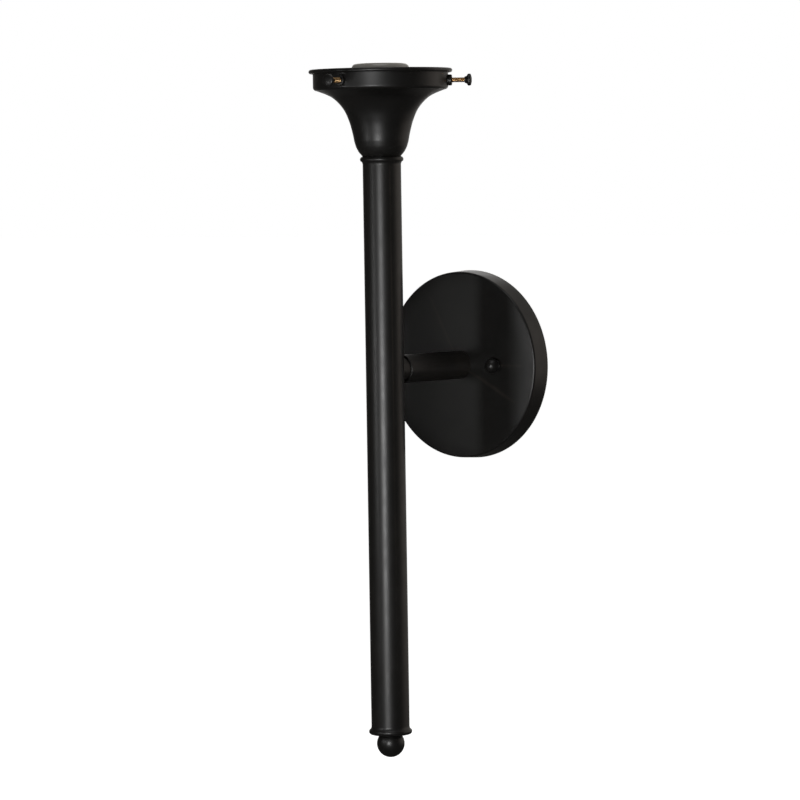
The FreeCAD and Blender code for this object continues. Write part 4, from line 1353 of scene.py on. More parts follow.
@dataclass
class Arm(SubAssembly):
    """Arm tube and reduced neck, drawn together by a threaded pipe with its nut and washer."""

    wall: float = 1.6
    edge: float = 0.6
    fit: float = 0.08
    plug_chamfer: float = 0.4
    neck_chamfer: float = 0.25
    groove: Tuple[float, ...] = (0.35, 0.42, 0.58, 0.65)
    groove_depth: float = 0.5
    plug: float = 8.0

    def build(self) -> None:
        """Make and dress every piece of the arm."""
        low, high = span("arm_tube")
        radius = (high.x - low.x) / 2
        inside = radius - self.wall
        length = high.y - low.y
        foot = ARM.moved("arm", -high.y)
        outline = Outline(inside, 0).to(radius, 0).to(radius, length - self.edge)
        outline.arc((radius - self.edge, length - self.edge), self.edge, 0, 90, 6)
        outline.to(inside + BURR, length).to(inside, length - BURR)
        tube = Bench.set_on(Bench.lathe("arm_tube_drawn", outline, True, TURNED_STEPS), foot)
        self.dress(tube, "arm_tube", SATIN_BLACK, ARM)
        self.neck(-low.y, inside - self.fit)
        self.ring(foot, inside - self.fit)
        for node, fitting in (("arm_pipe", Fitting.PIPE), ("arm_hex_nut", Fitting.NUT),
                              ("arm_lock_washer", Fitting.WASHER)):
            self.put_in(node, fitting, "y", "z")

    def neck(self, arm_front: float, plug_radius: float) -> None:
        """Turned neck, coped to the round of the stem.

        Args:
            arm_front: distance of the arm tube's front from the wall.
            plug_radius: radius of the plug inside the tube.
        """
        low, high = span("arm_neck_bush")
        radius = (high.z - low.z) / 2
        stem = stem_axis()
        stem_radius = half_width("stem_tube")
        shoulder = self.plug
        end = shoulder + (-stem.origin[1] - arm_front)
        plug, edge = self.plug_chamfer, self.neck_chamfer
        outline = Outline(PIPE_HOLE, 0).to(plug_radius - plug, 0).to(plug_radius, plug)
        outline.to(plug_radius, shoulder).to(radius - edge, shoulder).to(radius, shoulder + edge)
        outline.to(radius, end).to(PIPE_HOLE, end)
        neck = Bench.set_on(Bench.lathe("arm_neck_coped", outline, True, TURNED_STEPS),
                            ARM.moved("neck", arm_front - shoulder))
        Bench.cut(neck, Bench.rod("saddle", stem_radius, 60, Vector(stem.origin) * MM,
                                  (0, 0, 0), FINE_STEPS))
        self.dress(neck, "arm_neck_bush", SATIN_BLACK, ARM)

    def ring(self, foot: Axis, radius: float) -> None:
        """The ring that centres the arm tube on its pipe.

        Args:
            foot: the tube's wall end.
            radius: the ring's radius.
        """
        low, high = span("arm_centring_ring")
        length = high.y - low.y
        groove = [length * share for share in self.groove]
        floor = radius - self.groove_depth
        outline = Outline(PIPE_HOLE, 0).to(radius, 0).to(radius, groove[0])
        outline.to(floor, groove[1]).to(floor, groove[2])
        outline.to(radius, groove[3]).to(radius, length).to(PIPE_HOLE, length)
        ring = Bench.lathe("arm_centring_ring_turned", outline)
        self.dress(Bench.set_on(Bench.ease(ring, 0.2, 2), foot), "arm_centring_ring", ZINC_PLATE,
                   ARM)


@dataclass
class Stem(SubAssembly):
    """Stem tube, its turned end collars, the ball finial and the pipes and nuts inside."""

    wall: float = 1.2
    collar_height: float = 5.6
    collar_plug: float = 7.0
    plug_chamfer: float = 0.6
    face_edge: float = 0.4
    nose: float = 1.95
    nose_end: float = 42.0
    cove: float = 3.5
    cove_start: float = 224.0
    fit: float = 0.08
    finial_seat: float = 6.2
    blind: float = 7.0

    def build(self) -> None:
        """Make and dress every piece of the stem."""
        low, high = span("stem_tube")
        self.radius = (high.x - low.x) / 2
        self.tube(low.z, high.z - low.z)
        self.collar("stem_top_collar", high.z + self.collar_height, Toward.DOWN)
        self.collar("stem_bottom_collar", low.z - self.collar_height, Toward.UP)
        self.finial(low.z - self.collar_height)
        for pipe, nut in (("finial_pipe", "finial_locknut"), ("holder_pipe", "stem_top_locknut")):
            self.put_in(pipe, Fitting.PIPE)
            self.put_in(nut, Fitting.NUT)

    def tube(self, foot: float, length: float) -> None:
        """Drawn tube with a side hole for the arm's pipe.

        Args:
            foot: height of its lower end.
            length: its length.
        """
        inside = self.radius - self.wall
        outline = Outline(inside, 0).to(self.radius, 0).to(self.radius, length).to(inside, length)
        axis = stem_axis(foot)
        tube = Bench.set_on(Bench.lathe("stem_tube_drawn", outline, True, FINE_STEPS), axis)
        Bench.drill(tube, PIPE_HOLE, (axis.origin[0], axis.origin[1] + self.radius + 1, 0),
                    self.radius, Toward.ROOM.value)
        self.dress(Bench.ease(tube, 0.12, 2), "stem_tube", SATIN_BLACK, stem_axis())

    def collar(self, node: str, height: float, toward: Toward) -> None:
        """Turned collar: a flat face, a rounded nose, a cove up to the tube, and a plug in it.

        Args:
            node: the collar's node.
            height: height of its flat face.
            toward: the way that its plug points.
        """
        widest = half_width(node)
        middle = (widest - self.nose, self.nose)
        outline = Outline(PIPE_HOLE, 0).to(middle[0] - self.face_edge, 0)
        outline.arc(middle, self.nose, -90, self.nose_end, 14)
        cove = (self.radius + self.cove, self.collar_height)
        outline.arc(cove, self.cove, self.cove_start, 180, 10)
        inside = self.radius - self.wall - self.fit
        end, chamfer = self.collar_height + self.collar_plug, self.plug_chamfer
        outline.to(inside, self.collar_height).to(inside, end - chamfer)
        outline.to(inside - chamfer, end).to(PIPE_HOLE, end)
        collar = Bench.lathe(node + "_turned", outline, True, 160)
        self.dress(Bench.set_on(collar, stem_axis(height, toward)), node, SATIN_BLACK, stem_axis())

    def finial(self, seat: float) -> None:
        """Ball finial with a flat seat and a blind tapped hole.

        Args:
            seat: height of its seat.
        """
        radius = half_width("ball_finial")
        centre = (0.0, -self.finial_seat)
        top = math.degrees(math.asin(self.finial_seat / radius))
        outline = Outline(0, -self.finial_seat - radius).arc(centre, radius, -90, top, 36)
        outline.points[0] = (0.0, outline.points[0][1])
        outline.to(PIPE_HOLE, 0).to(PIPE_HOLE, -self.blind).to(0, -self.blind)
        ball = Bench.lathe("ball_finial_turned", outline, False, TURNED_STEPS)
        self.dress(Bench.set_on(ball, stem_axis(seat)), "ball_finial", SATIN_BLACK, stem_axis())


# ---------------------------------------------------------------- shade holder and thumbscrews

class Side(Enum):
    """The thumbscrews' bearings round the stem, in degrees from the front."""

    FRONT = 0.0
    RIGHT = 120.0
    LEFT = 240.0


@dataclass
class Holder(SubAssembly):
    """Spun bell with its band, rolled lip and bosses, the nut inside, and the thumbscrews."""

    turn: float = 3.5
    sheet: float = 1.2
    bowl: float = 10.1
    throat: float = 18.0
    band: float = 44.75
    band_height: float = 14.0
    foot_round: float = 2.4
    lip_roll: float = 1.4
    lip_inside: float = 1.3
    foot_flat: float = 12.5
    foot_edge: float = 0.5
    screw_drop: float = 8.0
    flare: Tuple[Point, ...] = ((0.0, 0.0), (0.047, 0.175), (0.138, 0.412), (0.294, 0.65),
                                (0.587, 0.868), (1.0, 1.0))
    cup: Tuple[Point, ...] = ((0.725, 0.045), (0.757, 0.115), (0.811, 0.228), (0.866, 0.37),
                              (0.933, 0.61), (0.975, 0.84), (1.0, 1.0))
    boss_radius: float = 3.65
    boss_height: float = 2.6
    boss_rounding: float = 0.75
    spigot: float = 2.6
    spigot_slack: float = 0.04
    screw_hole: float = 1.8
    hole_chamfer: float = 0.25
    thread_point: float = 0.5
    thread_reach: float = 8.4
    head_radius: float = 3.95
    head_height: float = 4.7
    grip: float = 2.4
    knurls: int = 24

    def build(self) -> None:
        """Make and dress every piece of the shade holder."""
        low, high = span("shade_holder")
        self.foot, self.height, self.lip = low.z, high.z - low.z, (high.x - low.x) / 2
        self.screw_z = high.z - self.screw_drop
        self.bell()
        boss = self.boss()
        head = self.head()
        tip = self.band + self.boss_height + self.thread_reach
        for side in Side:
            name = side.name.lower()
            axis = self.screw_axis(side)
            self.dress(Bench.set_on(Bench.copy(boss, "boss_" + name), axis), "screw_bosses",
                       SATIN_BLACK, axis)
            self.dress(Bench.set_on(Bench.copy(head, "thumbscrew_head_" + name), axis),
                       name + "_screw_head", SATIN_BLACK, axis, body=name + "_screw_head")
            self.thread(name, axis, tip + self.grip)
        for spare in (boss, head):
            bpy.data.objects.remove(spare, do_unlink=True)
        self.put_in("holder_hex_nut", Fitting.NUT)
        self.put_in("holder_lock_washer", Fitting.WASHER, across="x")

    def screw_axis(self, side: Side) -> Axis:
        """A thumbscrew's axis, from the stem's axis outwards.

        Args:
            side: which thumbscrew.

        Returns:
            The axis.
        """
        stem = stem_axis()
        turn = (90.0, 0.0, side.value + self.turn)
        return Axis("screw_" + side.name.lower(), (stem.origin[0], stem.origin[1], self.screw_z),
                    turn)

    def bell(self) -> None:
        """The spun bell, from its flat foot up to the curled lip and down inside again."""
        foot = self.height - self.band_height
        width, rise = self.band - self.foot_round - self.throat, foot - self.bowl
        stations = [(self.throat + width * across, self.bowl + rise * up)
                    for across, up in self.flare]
        centre = (self.throat - self.bowl, self.bowl)
        knee = (self.band - self.foot_round, foot + self.foot_round)
        curl = (self.lip - self.lip_roll, self.height - self.lip_roll)
        foot_corner = (self.foot_flat, self.foot_edge)
        outline = Outline(PIPE_HOLE, 0).to(foot_corner[0], 0)
        outline.arc(foot_corner, self.foot_edge, -90, -25, 5)
        outline.through([(self.throat * across, self.bowl * up) for across, up in self.cup], 5)
        outline.through(stations, 8).arc(knee, self.foot_round, -90, 0, 8)
        outline.to(self.band, curl[1] - self.lip_roll * 0.95)
        outline.arc(curl, self.lip_roll, 216, 360, 14).arc(curl, self.lip_roll, 0, 90, 8)
        inner = self.band - self.sheet
        outline.arc((inner + self.lip_inside, self.height - self.lip_inside), self.lip_inside,
                    90, 180, 6)
        outline.arc(knee, self.foot_round - self.sheet, 0, -90, 6)
        outline.through(self.inner_flare(stations), 8)
        outline.arc(centre, self.bowl - self.sheet, 0, -90, 12).to(PIPE_HOLE, self.sheet)
        bell = Bench.set_on(Bench.lathe("shade_holder_spun", outline, True, FINE_STEPS),
                            stem_axis(self.foot))
        stem = stem_axis()
        for side in Side:
            bearing = math.radians(side.value + self.turn)
            out = Vector((math.sin(bearing), -math.cos(bearing), 0))
            start = Vector((stem.origin[0], stem.origin[1], self.screw_z)) + out * (
                self.band - self.sheet - 1)
            Bench.drill(bell, self.spigot + self.spigot_slack, start, self.sheet + 2,
                        (90.0, 0.0, side.value + self.turn))
        self.dress(bell, "shade_holder", SATIN_BLACK, stem_axis())

    def inner_flare(self, stations: Sequence[Point]) -> List[Point]:
        """The flare's inside, one sheet in from its outside, from the band down.

        Args:
            stations: the outside's stations, from the throat up.

        Returns:
            The inside's stations.
        """
        inside = []
        for index, station in enumerate(stations):
            before = Vector(stations[max(index - 1, 0)])
            after = Vector(stations[min(index + 1, len(stations) - 1)])
            along = (after - before).normalized()
            inside.append(tuple(Vector(station) + Vector((-along.y, along.x)) * self.sheet))
        inside[0] = (self.throat - self.sheet, inside[0][1])
        return inside[::-1]

    def boss(self) -> Piece:
        """A threaded boss: a rounded rim coped to the band, and a spigot through it.

        Returns:
            The boss, upright on the screw's axis.
        """
        inside, outside = self.band - self.sheet, self.band + self.boss_height
        outline = Outline(self.screw_hole, inside).to(self.boss_radius, inside)
        rounding = self.boss_rounding
        outline.to(self.boss_radius, outside - rounding)
        outline.arc((self.boss_radius - rounding, outside - rounding), rounding, 0, 90, 5)
        chamfer = self.hole_chamfer
        outline.to(self.screw_hole + chamfer, outside).to(self.screw_hole, outside - chamfer)
        rim = Bench.lathe("boss", outline, True, 64)
        Bench.cut(rim, Bench.rod("band", self.band, 30, (0, 0, 0), (math.pi / 2, 0, 0),
                                 FINE_STEPS))
        bore, end = self.screw_hole + CLEAR, self.band + 0.05
        outline = Outline(bore, inside).to(self.spigot, inside).to(self.spigot, end).to(bore, end)
        return Bench.join("boss", [rim, Bench.lathe("spigot", outline, True, 64)])

    def head(self) -> Piece:
        """A thumbscrew's head: a hollow cone out to a fine knurled rim, and a low crown.

        Returns:
            The head, upright on the screw's axis.
        """
        foot = self.band + self.boss_height + self.thread_reach
        dome, radius, edge, button, shank = 0.5, self.head_radius, 0.9, 1.7, 2.2
        top, rim, hole = foot + self.head_height, foot + button, foot + self.grip + 0.05
        outline = Outline(0, hole).to(self.screw_hole, hole).to(self.screw_hole, foot)
        outline.to(shank - BURR, foot).to(shank, foot + BURR)
        outline.to(shank + 0.05, foot + 0.5).bow(radius - edge, rim, -1.9, 6)
        outline.arc((radius - edge, rim + edge), edge, -90, 0, 6)
        outline.arc((radius - edge, top - dome - edge), edge, 0, 70, 6)
        reach, height = outline.points[-1]
        rise = top - height
        outline.bow(0, top, (reach * reach + rise * rise) / (2 * rise), 8)
        head = Bench.lathe("head", outline, False, self.knurls * 6)
        Hardware.flute(head, rim + edge - 0.1, top - dome - edge + 0.1, radius - 0.05,
                       self.knurls, 0.97)
        return head

    def thread(self, name: str, axis: Axis, outer_end: float) -> None:
        """A thumbscrew's brass thread with a blunt point inside the band.

        Args:
            name: the thumbscrew's side.
            axis: its axis.
            outer_end: distance of its outer end from the stem's axis.
        """
        node = name + "_screw_thread"
        length = outer_end - self.tip_of(node, axis)
        thread = THUMB_THREAD.make("thumbscrew_thread_" + name, length, self.thread_point)
        self.dress(Bench.set_on(thread, axis.moved("thread", outer_end - length)), node,
                   BARE_BRASS, axis, body=node)

    @staticmethod
    def tip_of(node: str, axis: Axis) -> float:
        """Distance of a node's nearest point from the start of its axis, along it."""
        inverse = axis.matrix().inverted()
        return min((inverse @ vertex.co).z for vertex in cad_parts[node].data.vertices) / MM


# ---------------------------------------------------------------- lampholder

@dataclass
class Lampholder(SubAssembly):
    """Porcelain body with its screw shell, centre contact, metal cap, screws and leads."""

    barrel: float = 20.0
    rim_round: float = 3.2
    rim_drop: float = 0.9
    mouth_round: float = 0.6
    shoulder: float = 6.0
    foot_chamfer: float = 0.5
    foot_radius: float = 15.5
    shell_outside: float = 13.75
    shell_sheet: float = 0.4
    shell_wall: float = 0.3
    shell_pitch: float = 3.63
    shell_gap: float = 0.1
    floor_hole: float = 6.5
    pocket: float = 3.2
    channel: float = 1.3
    channel_past: float = 4.5
    lead_place: float = 8.0
    terminal_height: float = 8.0
    terminal_hole: float = 1.79
    terminal_recess: float = 0.6
    terminal_head: float = 3.2
    terminal_point: float = 0.4
    cap_screw_place: float = 10.5
    cap_screw_hole: float = 1.44
    cap_screw_depth: float = 10.3
    cap_below_screws: float = 16.8
    set_screw_hole: float = 1.54
    cap_sheet: float = 1.0
    cap_bend: float = 1.6
    hub_radius: float = 7.0
    hub_edge: float = 0.4
    hub_fillet: float = 0.5
    socket: float = 0.75

    def build(self) -> None:
        """Make and dress every piece of the lampholder."""
        low, high = span("lampholder_body")
        self.foot, self.height, self.radius = low.z, high.z - low.z, (high.x - low.x) / 2
        self.shell_foot = span("screw_shell")[0].z
        self.axis = stem_axis()
        self.porcelain()
        self.shell()
        self.contact()
        self.cap()
        self.screws()
        self.dress_node("line_lead", BLACK_SLEEVE, self.axis, Grain.MOULDED)
        self.dress_node("neutral_lead", WHITE_SLEEVE, self.axis, Grain.MOULDED)

    def at(self, across: float, depth: float, height: float) -> Place:
        """A point in the room, from the lampholder's axis."""
        return (self.axis.origin[0] + across, self.axis.origin[1] + depth, height)

    def porcelain(self) -> None:
        """Glazed body with two barrels, a rounded rim, screw flats and lead channels."""
        shoulder = self.height - self.barrel
        floor = self.shell_foot - self.foot
        cavity = self.shell_outside + self.shell_gap
        outline = Outline(0, 0).to(self.foot_radius - self.foot_chamfer, 0)
        outline.to(self.foot_radius, self.foot_chamfer)
        outline.to(self.foot_radius, shoulder - self.shoulder - 0.8)
        outline.to(self.foot_radius + 0.45, shoulder - self.shoulder + 0.6)
        outline.to(self.radius - 0.35, shoulder - 0.6).to(self.radius, shoulder + 0.6)
        top = self.height - self.rim_drop
        outline.arc((self.radius - self.rim_round, top - self.rim_round), self.rim_round, 0, 90, 12)
        mouth = self.mouth_round
        outline.to(cavity + mouth, top).arc((cavity + mouth, top - mouth), mouth, 90, 180, 5)
        outline.to(cavity, floor).to(self.floor_hole, floor)
        outline.to(self.floor_hole, floor - self.pocket).to(0, floor - self.pocket)
        body = Bench.set_on(Bench.lathe("lampholder_porcelain", outline, False, 160),
                            stem_axis(self.foot))
        for side, toward in ((-1, Toward.LEFT), (1, Toward.RIGHT)):
            seat = self.foot_radius - self.terminal_recess
            middle = self.foot + self.terminal_height
            Bench.drill(body, self.channel, self.at(side * self.lead_place, 0, self.foot - 1),
                        self.terminal_height + self.channel_past, sides=32)
            Bench.drill(body, self.terminal_hole, self.at(side * self.lead_place, 0, middle),
                        self.foot_radius, toward.value, 32)
            Bench.drill(body, self.terminal_head + 0.6, self.at(side * seat, 0, middle), 3.0,
                        toward.value, 48)
            Bench.drill(body, self.cap_screw_hole,
                        self.at(0, side * self.cap_screw_place, self.foot - 1),
                        self.cap_screw_depth, sides=32)
        # Painted shade: the white porcelain body is dressed in a shade-darkened grey.
        self.dress(body, "lampholder_body", SHADE_GREYED_PORCELAIN, self.axis, Grain.MOULDED)

    def shell(self) -> None:
        """Screw shell: a holed floor, a rolled screw wall and a plain rim."""
        high = span("screw_shell")[1].z - self.shell_foot
        outer, sheet = self.shell_outside, self.shell_sheet
        crest, root, inner = outer - 0.35, outer - 1.25, outer - 1.3
        start, count, bend, bend_inside = 2.6, 12, 0.9, 0.5
        profile = []
        for step in range(count + 1):
            share = step / count
            wave = (1 + math.cos(FULL_TURN * share)) / 2
            profile.append((root + (crest - root) * wave, 0,
                            start + (share - 2) * self.shell_pitch))
        wall = Bench.draw("screw_shell_rolled", profile, False)
        Bench.close()
        Bench.apply(wall, "SCREW", axis="Z", angle=FULL_TURN, screw_offset=self.shell_pitch * MM,
                    iterations=10, steps=64, render_steps=64, use_merge_vertices=True,
                    merge_threshold=MERGE)
        Bench.edit(wall)
        Bench.tidy()
        Bench.trim(start, high - 1.0, False)
        Bench.tidy()
        Bench.close()
        Bench.apply(wall, "SOLIDIFY", thickness=self.shell_wall * MM, offset=0.0, use_rim=True)
        cup = Outline(self.floor_hole, 0).to(outer - bend, 0)
        cup.arc((outer - bend, bend), bend, -90, 0, 5)
        cup.to(outer, start + 0.6).to(inner, start + 0.9).to(inner, start + 0.5)
        cup.to(outer - sheet, start + 0.2).to(outer - sheet, bend)
        cup.arc((outer - bend, bend), bend_inside, 0, -90, 4).to(self.floor_hole, sheet)
        rim = Outline(inner, high - 1.4).to(outer, high - 1.2).to(outer, high)
        rim.to(outer - sheet, high).to(outer - sheet, high - 0.9).to(inner, high - 1.1)
        parts = [wall, Bench.lathe("cup", cup, True, 96), Bench.lathe("rim", rim, True, 96)]
        shell = Bench.join("screw_shell_rolled", parts)
        Bench.set_on(shell, stem_axis(self.shell_foot))
        self.dress(shell, "screw_shell", BARE_BRASS, self.axis)

    def contact(self) -> None:
        """Centre contact: a brass blade whose middle is bowed up into a spring."""
        low, high = span("centre_contact")
        length, width, rise = high.x - low.x, high.y - low.y, high.z - low.z
        sheet, columns, bowed, fullness = 0.5, 16, 0.4, 1.5
        Bench.clear()
        bpy.ops.mesh.primitive_grid_add(x_subdivisions=columns, y_subdivisions=4, size=1)
        blade = Bench.begin("centre_contact_spring")
        blade.scale = (length * MM, width * MM, 1)
        Bench.edit(Bench.settle(blade))
        for column in range(1, columns):
            middle = -length / 2 + length * column / columns
            share = max(0.0, 1 - (middle / (length * bowed)) ** 2)
            Bench.pick(blade, lambda vertex: abs(vertex.co.x - middle * MM) < 1e-5, "VERT")
            bpy.ops.transform.translate(value=(0, 0, (rise - sheet) * share ** fullness * MM))
        Bench.close()
        Bench.apply(blade, "SOLIDIFY", thickness=sheet * MM, offset=1.0, use_rim=True)
        Bench.ease(blade, 0.12, 2, 50)
        Bench.set_on(blade, stem_axis(low.z))
        self.dress(blade, "centre_contact", BARE_BRASS, self.axis, Grain.ROLLED)

    def cap(self) -> None:
        """Metal cap: a cup under the porcelain and a tapped hub with its set screw."""
        low, high = span("lampholder_cap")
        radius = (high.x - low.x) / 2
        floor = span("lampholder_cap_screws")[1].z - self.cap_below_screws
        hub = floor - low.z
        sheet = self.cap_sheet
        height = high.z - floor
        edge, fillet = self.hub_edge, self.hub_fillet
        outline = Outline(PIPE_HOLE, -hub).to(self.hub_radius - edge, -hub)
        outline.to(self.hub_radius, -hub + edge).to(self.hub_radius, -fillet)
        outline.arc((self.hub_radius + fillet, -fillet), fillet, 180, 90, 4)
        bend = self.cap_bend
        outline.to(radius - bend, 0).arc((radius - bend, bend), bend, -90, 0, 6)
        outline.to(radius, height).to(radius - sheet, height).to(radius - sheet, bend)
        outline.arc((radius - bend, bend), bend - sheet, 0, -90, 4).to(PIPE_HOLE, sheet)
        cap = Bench.set_on(Bench.lathe("lampholder_cap_spun", outline, True, TURNED_STEPS),
                           stem_axis(floor))
        Bench.drill(cap, self.set_screw_hole, self.at(0, 0, floor - hub / 2),
                    self.hub_radius + 1, Toward.RIGHT.value, 32)
        for side in (-1, 1):
            Bench.drill(cap, self.cap_screw_hole,
                        self.at(0, side * self.cap_screw_place, floor - 1), sheet + 2, sides=32)
        self.dress(cap, "lampholder_cap", ZINC_PLATE, self.axis)
        low, high = span("cap_set_screw")
        axis = Axis("set_screw", (low.x, self.axis.origin[1], (low.z + high.z) / 2),
                    Toward.RIGHT.value)
        screw = SET_THREAD.make("cap_set_screw_socket", high.x - low.x)
        Bench.drill(screw, self.socket, (0, 0, (high.x - low.x) / 2), 3, sides=6)
        self.dress(Bench.set_on(screw, axis), "cap_set_screw", ZINC_PLATE, axis)

    def screws(self) -> None:
        """Two slotted cap screws and two slotted terminal screws."""
        low, high = span("lampholder_cap_screws")
        head_height, head_radius, crown, slot = 1.7, 2.6, 0.6, 0.8
        for name, side in (("front", -1), ("back", 1)):
            shank = Bench.set_on(SMALL_THREAD.make("shank", high.z - low.z - head_height),
                                 Axis("shank", (0, 0, low.z + head_height)))
            head = Hardware.slotted_head("head", head_radius, head_height, crown, slot)
            Bench.set_on(head, Axis("head", (0, 0, low.z + head_height), Toward.DOWN.value))
            axis = Axis("cap_screw_" + name, self.at(0, side * self.cap_screw_place, 0))
            screw = Bench.set_on(Bench.join("cap_screw_" + name, [head, shank]), axis)
            self.dress(screw, "lampholder_cap_screws", ZINC_PLATE, axis)
        low, high = span("terminal_screws")
        reach, head_height, crown, slot = (high.x - low.x) / 2, 1.8, 0.7, 1.0
        inner = self.lead_place + 1.0
        height = (low.z + high.z) / 2
        for name, side, toward in (("left", -1, Toward.LEFT), ("right", 1, Toward.RIGHT)):
            seat = reach - head_height
            shank = TERMINAL_THREAD.make("shank", seat - inner, self.terminal_point)
            Bench.set_on(shank, Axis("shank", (0, 0, inner)))
            head = Hardware.slotted_head("head", self.terminal_head, head_height, crown, slot)
            Bench.set_on(head, Axis("head", (0, 0, seat)))
            axis = Axis("terminal_" + name, self.at(0, 0, height), toward.value)
            screw = Bench.set_on(Bench.join("terminal_screw_" + name, [head, shank]), axis)
            self.dress(screw, "terminal_screws", BARE_BRASS, axis)


# ---------------------------------------------------------------- studio

@dataclass(frozen=True)
class Lamp:
    """A soft lamp, placed by its bearing round the object, like the camera's."""

    name: str
    bearing: float
    height: float
    distance: float
    size: Tuple[float, float]
    power: float
    colour: Colour = (1.0, 1.0, 1.0)

    def light(self, target: Vector) -> None:
        """Hang the lamp and aim it at a point in metres.

        Args:
            target: the point.
        """
        angle = math.radians(self.bearing)
        place = target + Vector((math.sin(angle) * self.distance,
                                 -math.cos(angle) * self.distance, self.height))
        data = bpy.data.lights.new(self.name, "AREA")
        data.shape = "RECTANGLE"
        data.size, data.size_y = self.size
        data.energy = self.power
        data.color = self.colour
        lamp = bpy.data.objects.new(self.name, data)
        bpy.context.scene.collection.objects.link(lamp)
        lamp.location = place
        lamp.rotation_euler = (target - place).to_track_quat("-Z", "Y").to_euler()


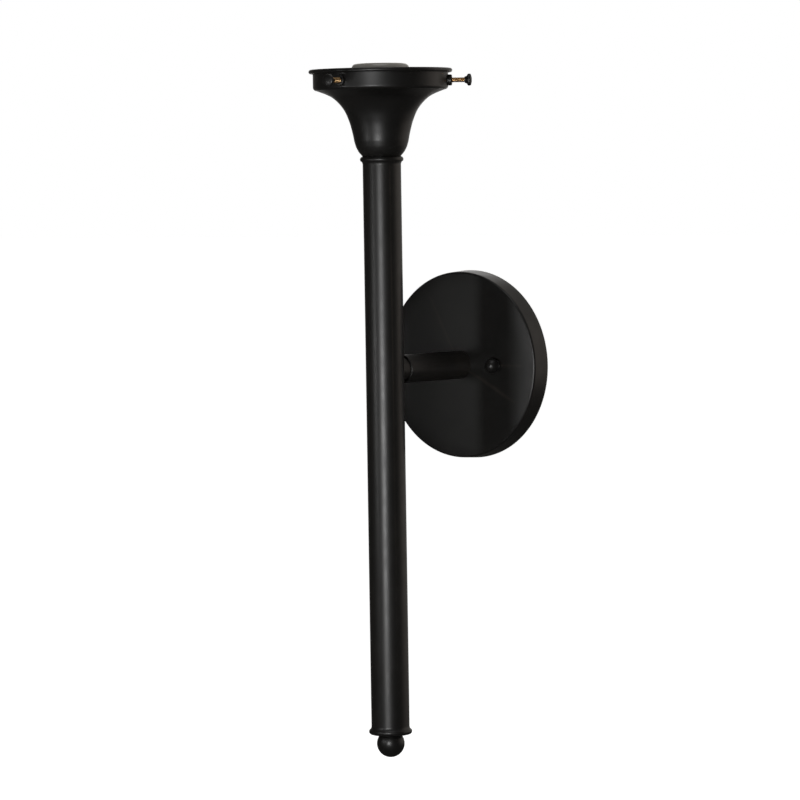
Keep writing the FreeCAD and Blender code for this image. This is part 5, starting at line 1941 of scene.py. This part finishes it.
@dataclass
class Studio:
    """Pale floor, white surroundings, soft lamps and the camera, in metres and degrees.

    The floor's own white grows from `floor_glow`'s first share near the object to its second
    far off, where less light falls. The glow of the cloth, a painted reflection that only mirrored
    rays see, grows across the room in the same way.
    """

    floor_drop: float = 0.45
    floor_size: float = 60.0
    floor_colour: Colour = (0.86, 0.86, 0.85)
    floor_mottle: float = 0.985
    floor_glow: Tuple[float, float] = (0.46, 0.63)
    floor_spread: Tuple[float, float] = (0.3, 2.2)
    ambient: float = 0.45
    tent_radius: float = 3.4
    tent_height: float = 3.2
    tent_gap: float = 0.01
    tent_glow: Tuple[float, float] = (0.03, 0.40)
    tent_turn: Tuple[float, float] = (0.8, 2.6)
    bearing: float = 38.70
    distance: float = 2.7027
    camera_height: float = 0.1259
    swing: float = -0.204
    pitch: float = -3.088
    roll: float = -0.881
    lens: float = 183.62
    sensor: float = 36.0
    lamps: Tuple[Lamp, ...] = (
        Lamp("key", 23.5, -0.11, 1.15, (0.27, 0.20), 6.3),
        Lamp("left_box", -20.6, -0.01, 0.8, (0.09, 0.16), 0.60),
        Lamp("warm_side", 141.0, 0.1, 1.5, (0.9, 1.6), 1.3, (1.0, 0.84, 0.72)),
        Lamp("back_box", 215.0, 0.4, 1.6, (0.8, 1.2), 3.0),
        Lamp("overhead", 30.0, 2.2, 0.7, (1.4, 1.4), 8.0),
    )

    def build(self) -> None:
        """Set up the floor, the surroundings, the lamps and the camera."""
        bpy.context.scene.view_settings.view_transform = "Standard"
        middle = Vector(stem_axis().origin) * MM
        self.floor()
        self.tent()
        self.surroundings()
        for lamp in self.lamps:
            lamp.light(middle)
        self.camera(middle)

    @staticmethod
    def background_rays(tree: bpy.types.NodeTree) -> Socket:
        """1 for rays from the camera and for reflected and passing rays that show the backdrop.

        Args:
            tree: the node tree that reads them.

        Returns:
            The share's socket.
        """
        path = tree.nodes.new("ShaderNodeLightPath")
        total = path.outputs["Is Camera Ray"]
        for ray in ("Is Glossy Ray", "Is Transmission Ray"):
            most = tree.nodes.new("ShaderNodeMath")
            most.operation = "MAXIMUM"
            tree.links.new(total, most.inputs[0])
            tree.links.new(path.outputs[ray], most.inputs[1])
            total = most.outputs[0]
        return total

    def surroundings(self) -> None:
        """White surroundings for the eye and in reflections, and a plain ambient light."""
        world = bpy.data.worlds.new("surroundings")
        bpy.context.scene.world = world
        world.use_nodes = True
        tree = world.node_tree
        tree.nodes.clear()
        share = self.background_rays(tree)
        dim, white = (tree.nodes.new("ShaderNodeBackground") for _ in range(2))
        dim.inputs["Strength"].default_value = self.ambient
        white.inputs["Strength"].default_value = 1.0
        for shade in (dim, white):
            shade.inputs["Color"].default_value = (1, 1, 1, 1)
        blend = tree.nodes.new("ShaderNodeMixShader")
        output = tree.nodes.new("ShaderNodeOutputWorld")
        tree.links.new(share, blend.inputs[0])
        tree.links.new(dim.outputs[0], blend.inputs[1])
        tree.links.new(white.outputs[0], blend.inputs[2])
        tree.links.new(blend.outputs[0], output.inputs["Surface"])

    def floor(self) -> None:
        """Pale floor under the light, which keeps its shadow."""
        Bench.clear()
        bpy.ops.mesh.primitive_grid_add(x_subdivisions=4, y_subdivisions=4, size=self.floor_size,
                                        location=(0, 0, -self.floor_drop))
        floor = Bench.settle(Bench.begin("floor"))
        shader = Shader("pale_floor")
        place = shader.add("ShaderNodeTexCoord").outputs["Object"]
        mottle = shader.noise(place, 6.0, 3.0)
        away = shader.add("ShaderNodeVectorMath", operation="LENGTH")
        shader.link(place, away.inputs[0])
        white = shader.between(away.outputs["Value"], *self.floor_glow, self.floor_spread)
        low = tuple(part * self.floor_mottle for part in self.floor_colour)
        shader.link(shader.mix(mottle, low, self.floor_colour), shader.surface.inputs["Base Color"])
        shader.surface.inputs["Roughness"].default_value = 0.8
        shader.surface.inputs["Specular IOR Level"].default_value = 0.0
        shader.surface.inputs["Emission Color"].default_value = (1, 1, 1, 1)
        glow = shader.maths("MULTIPLY", self.background_rays(shader.tree), white)
        shader.link(glow, shader.surface.inputs["Emission Strength"])
        floor.data.materials.append(shader.material)

    def tent(self) -> None:
        """Painted reflection: a glowing cloth all round that only mirrored rays see, black in front
        and pale behind.
        """
        Bench.clear()
        bpy.ops.mesh.primitive_cylinder_add(
            vertices=64, radius=self.tent_radius, depth=self.tent_height,
            location=(0, 0, self.tent_height / 2 - self.floor_drop + self.tent_gap))
        tent = Bench.settle(Bench.begin("black_cloth"))
        shader = Shader("black_cloth")
        place = shader.add("ShaderNodeTexCoord").outputs["Object"]
        weave = shader.noise(place, 3.0, 4.0)
        parts = shader.add("ShaderNodeSeparateXYZ")
        shader.link(place, parts.inputs[0])
        # painted reflection: the cloth's glow, dark in front and pale behind, shows only in the
        # object's gloss
        glow = shader.between(parts.outputs["Y"], *self.tent_glow, self.tent_turn)
        shader.link(shader.mix(weave, (0.02, 0.02, 0.02), (0.03, 0.03, 0.03)),
                    shader.surface.inputs["Base Color"])
        shader.surface.inputs["Roughness"].default_value = 1.0
        shader.surface.inputs["Specular IOR Level"].default_value = 0.0
        shader.surface.inputs["Emission Color"].default_value = (1, 0.94, 0.88, 1)
        shader.link(glow, shader.surface.inputs["Emission Strength"])
        tent.data.materials.append(shader.material)
        # only mirrored rays see the cloth, so it paints the object's reflections and lights nothing
        for rays in ("camera", "diffuse", "transmission", "volume_scatter", "shadow"):
            setattr(tent, "visible_" + rays, False)

    def camera(self, middle: Vector) -> None:
        """The camera, at the photograph's place and turn.

        Args:
            middle: the point on the stem that it is placed round, in metres.
        """
        bearing = math.radians(self.bearing)
        place = middle + Vector((math.sin(bearing), -math.cos(bearing), 0)) * self.distance
        place.z += self.camera_height
        yaw = math.radians(self.bearing + self.swing)
        pitch, roll = math.radians(self.pitch), math.radians(self.roll)
        ahead = Vector((-math.sin(yaw) * math.cos(pitch), math.cos(yaw) * math.cos(pitch),
                        math.sin(pitch)))
        right = Vector((math.cos(yaw), math.sin(yaw), 0))
        above = right.cross(ahead)
        across = right * math.cos(roll) + above * math.sin(roll)
        upward = above * math.cos(roll) - right * math.sin(roll)
        turn = Matrix((across, upward, -ahead)).transposed()
        data = bpy.data.cameras.new("camera")
        data.lens, data.sensor_width, data.sensor_fit = self.lens, self.sensor, "HORIZONTAL"
        data.clip_start, data.clip_end = 0.05, 200.0
        camera = bpy.data.objects.new("camera", data)
        bpy.context.scene.collection.objects.link(camera)
        camera.matrix_world = Matrix.Translation(place) @ turn.to_4x4()
        bpy.context.scene.camera = camera


def main() -> None:
    """Build the studio and every sub-assembly."""
    logging.basicConfig(level=logging.INFO, format="%(name)s: %(message)s")
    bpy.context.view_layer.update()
    Studio().build()
    for assembly in (Canopy(), Arm(), Stem(), Holder(), Lampholder()):
        LOG.info("building %s", type(assembly).__name__)
        assembly.build()
    Bench.clear()


if __name__ == "__main__":
    main()
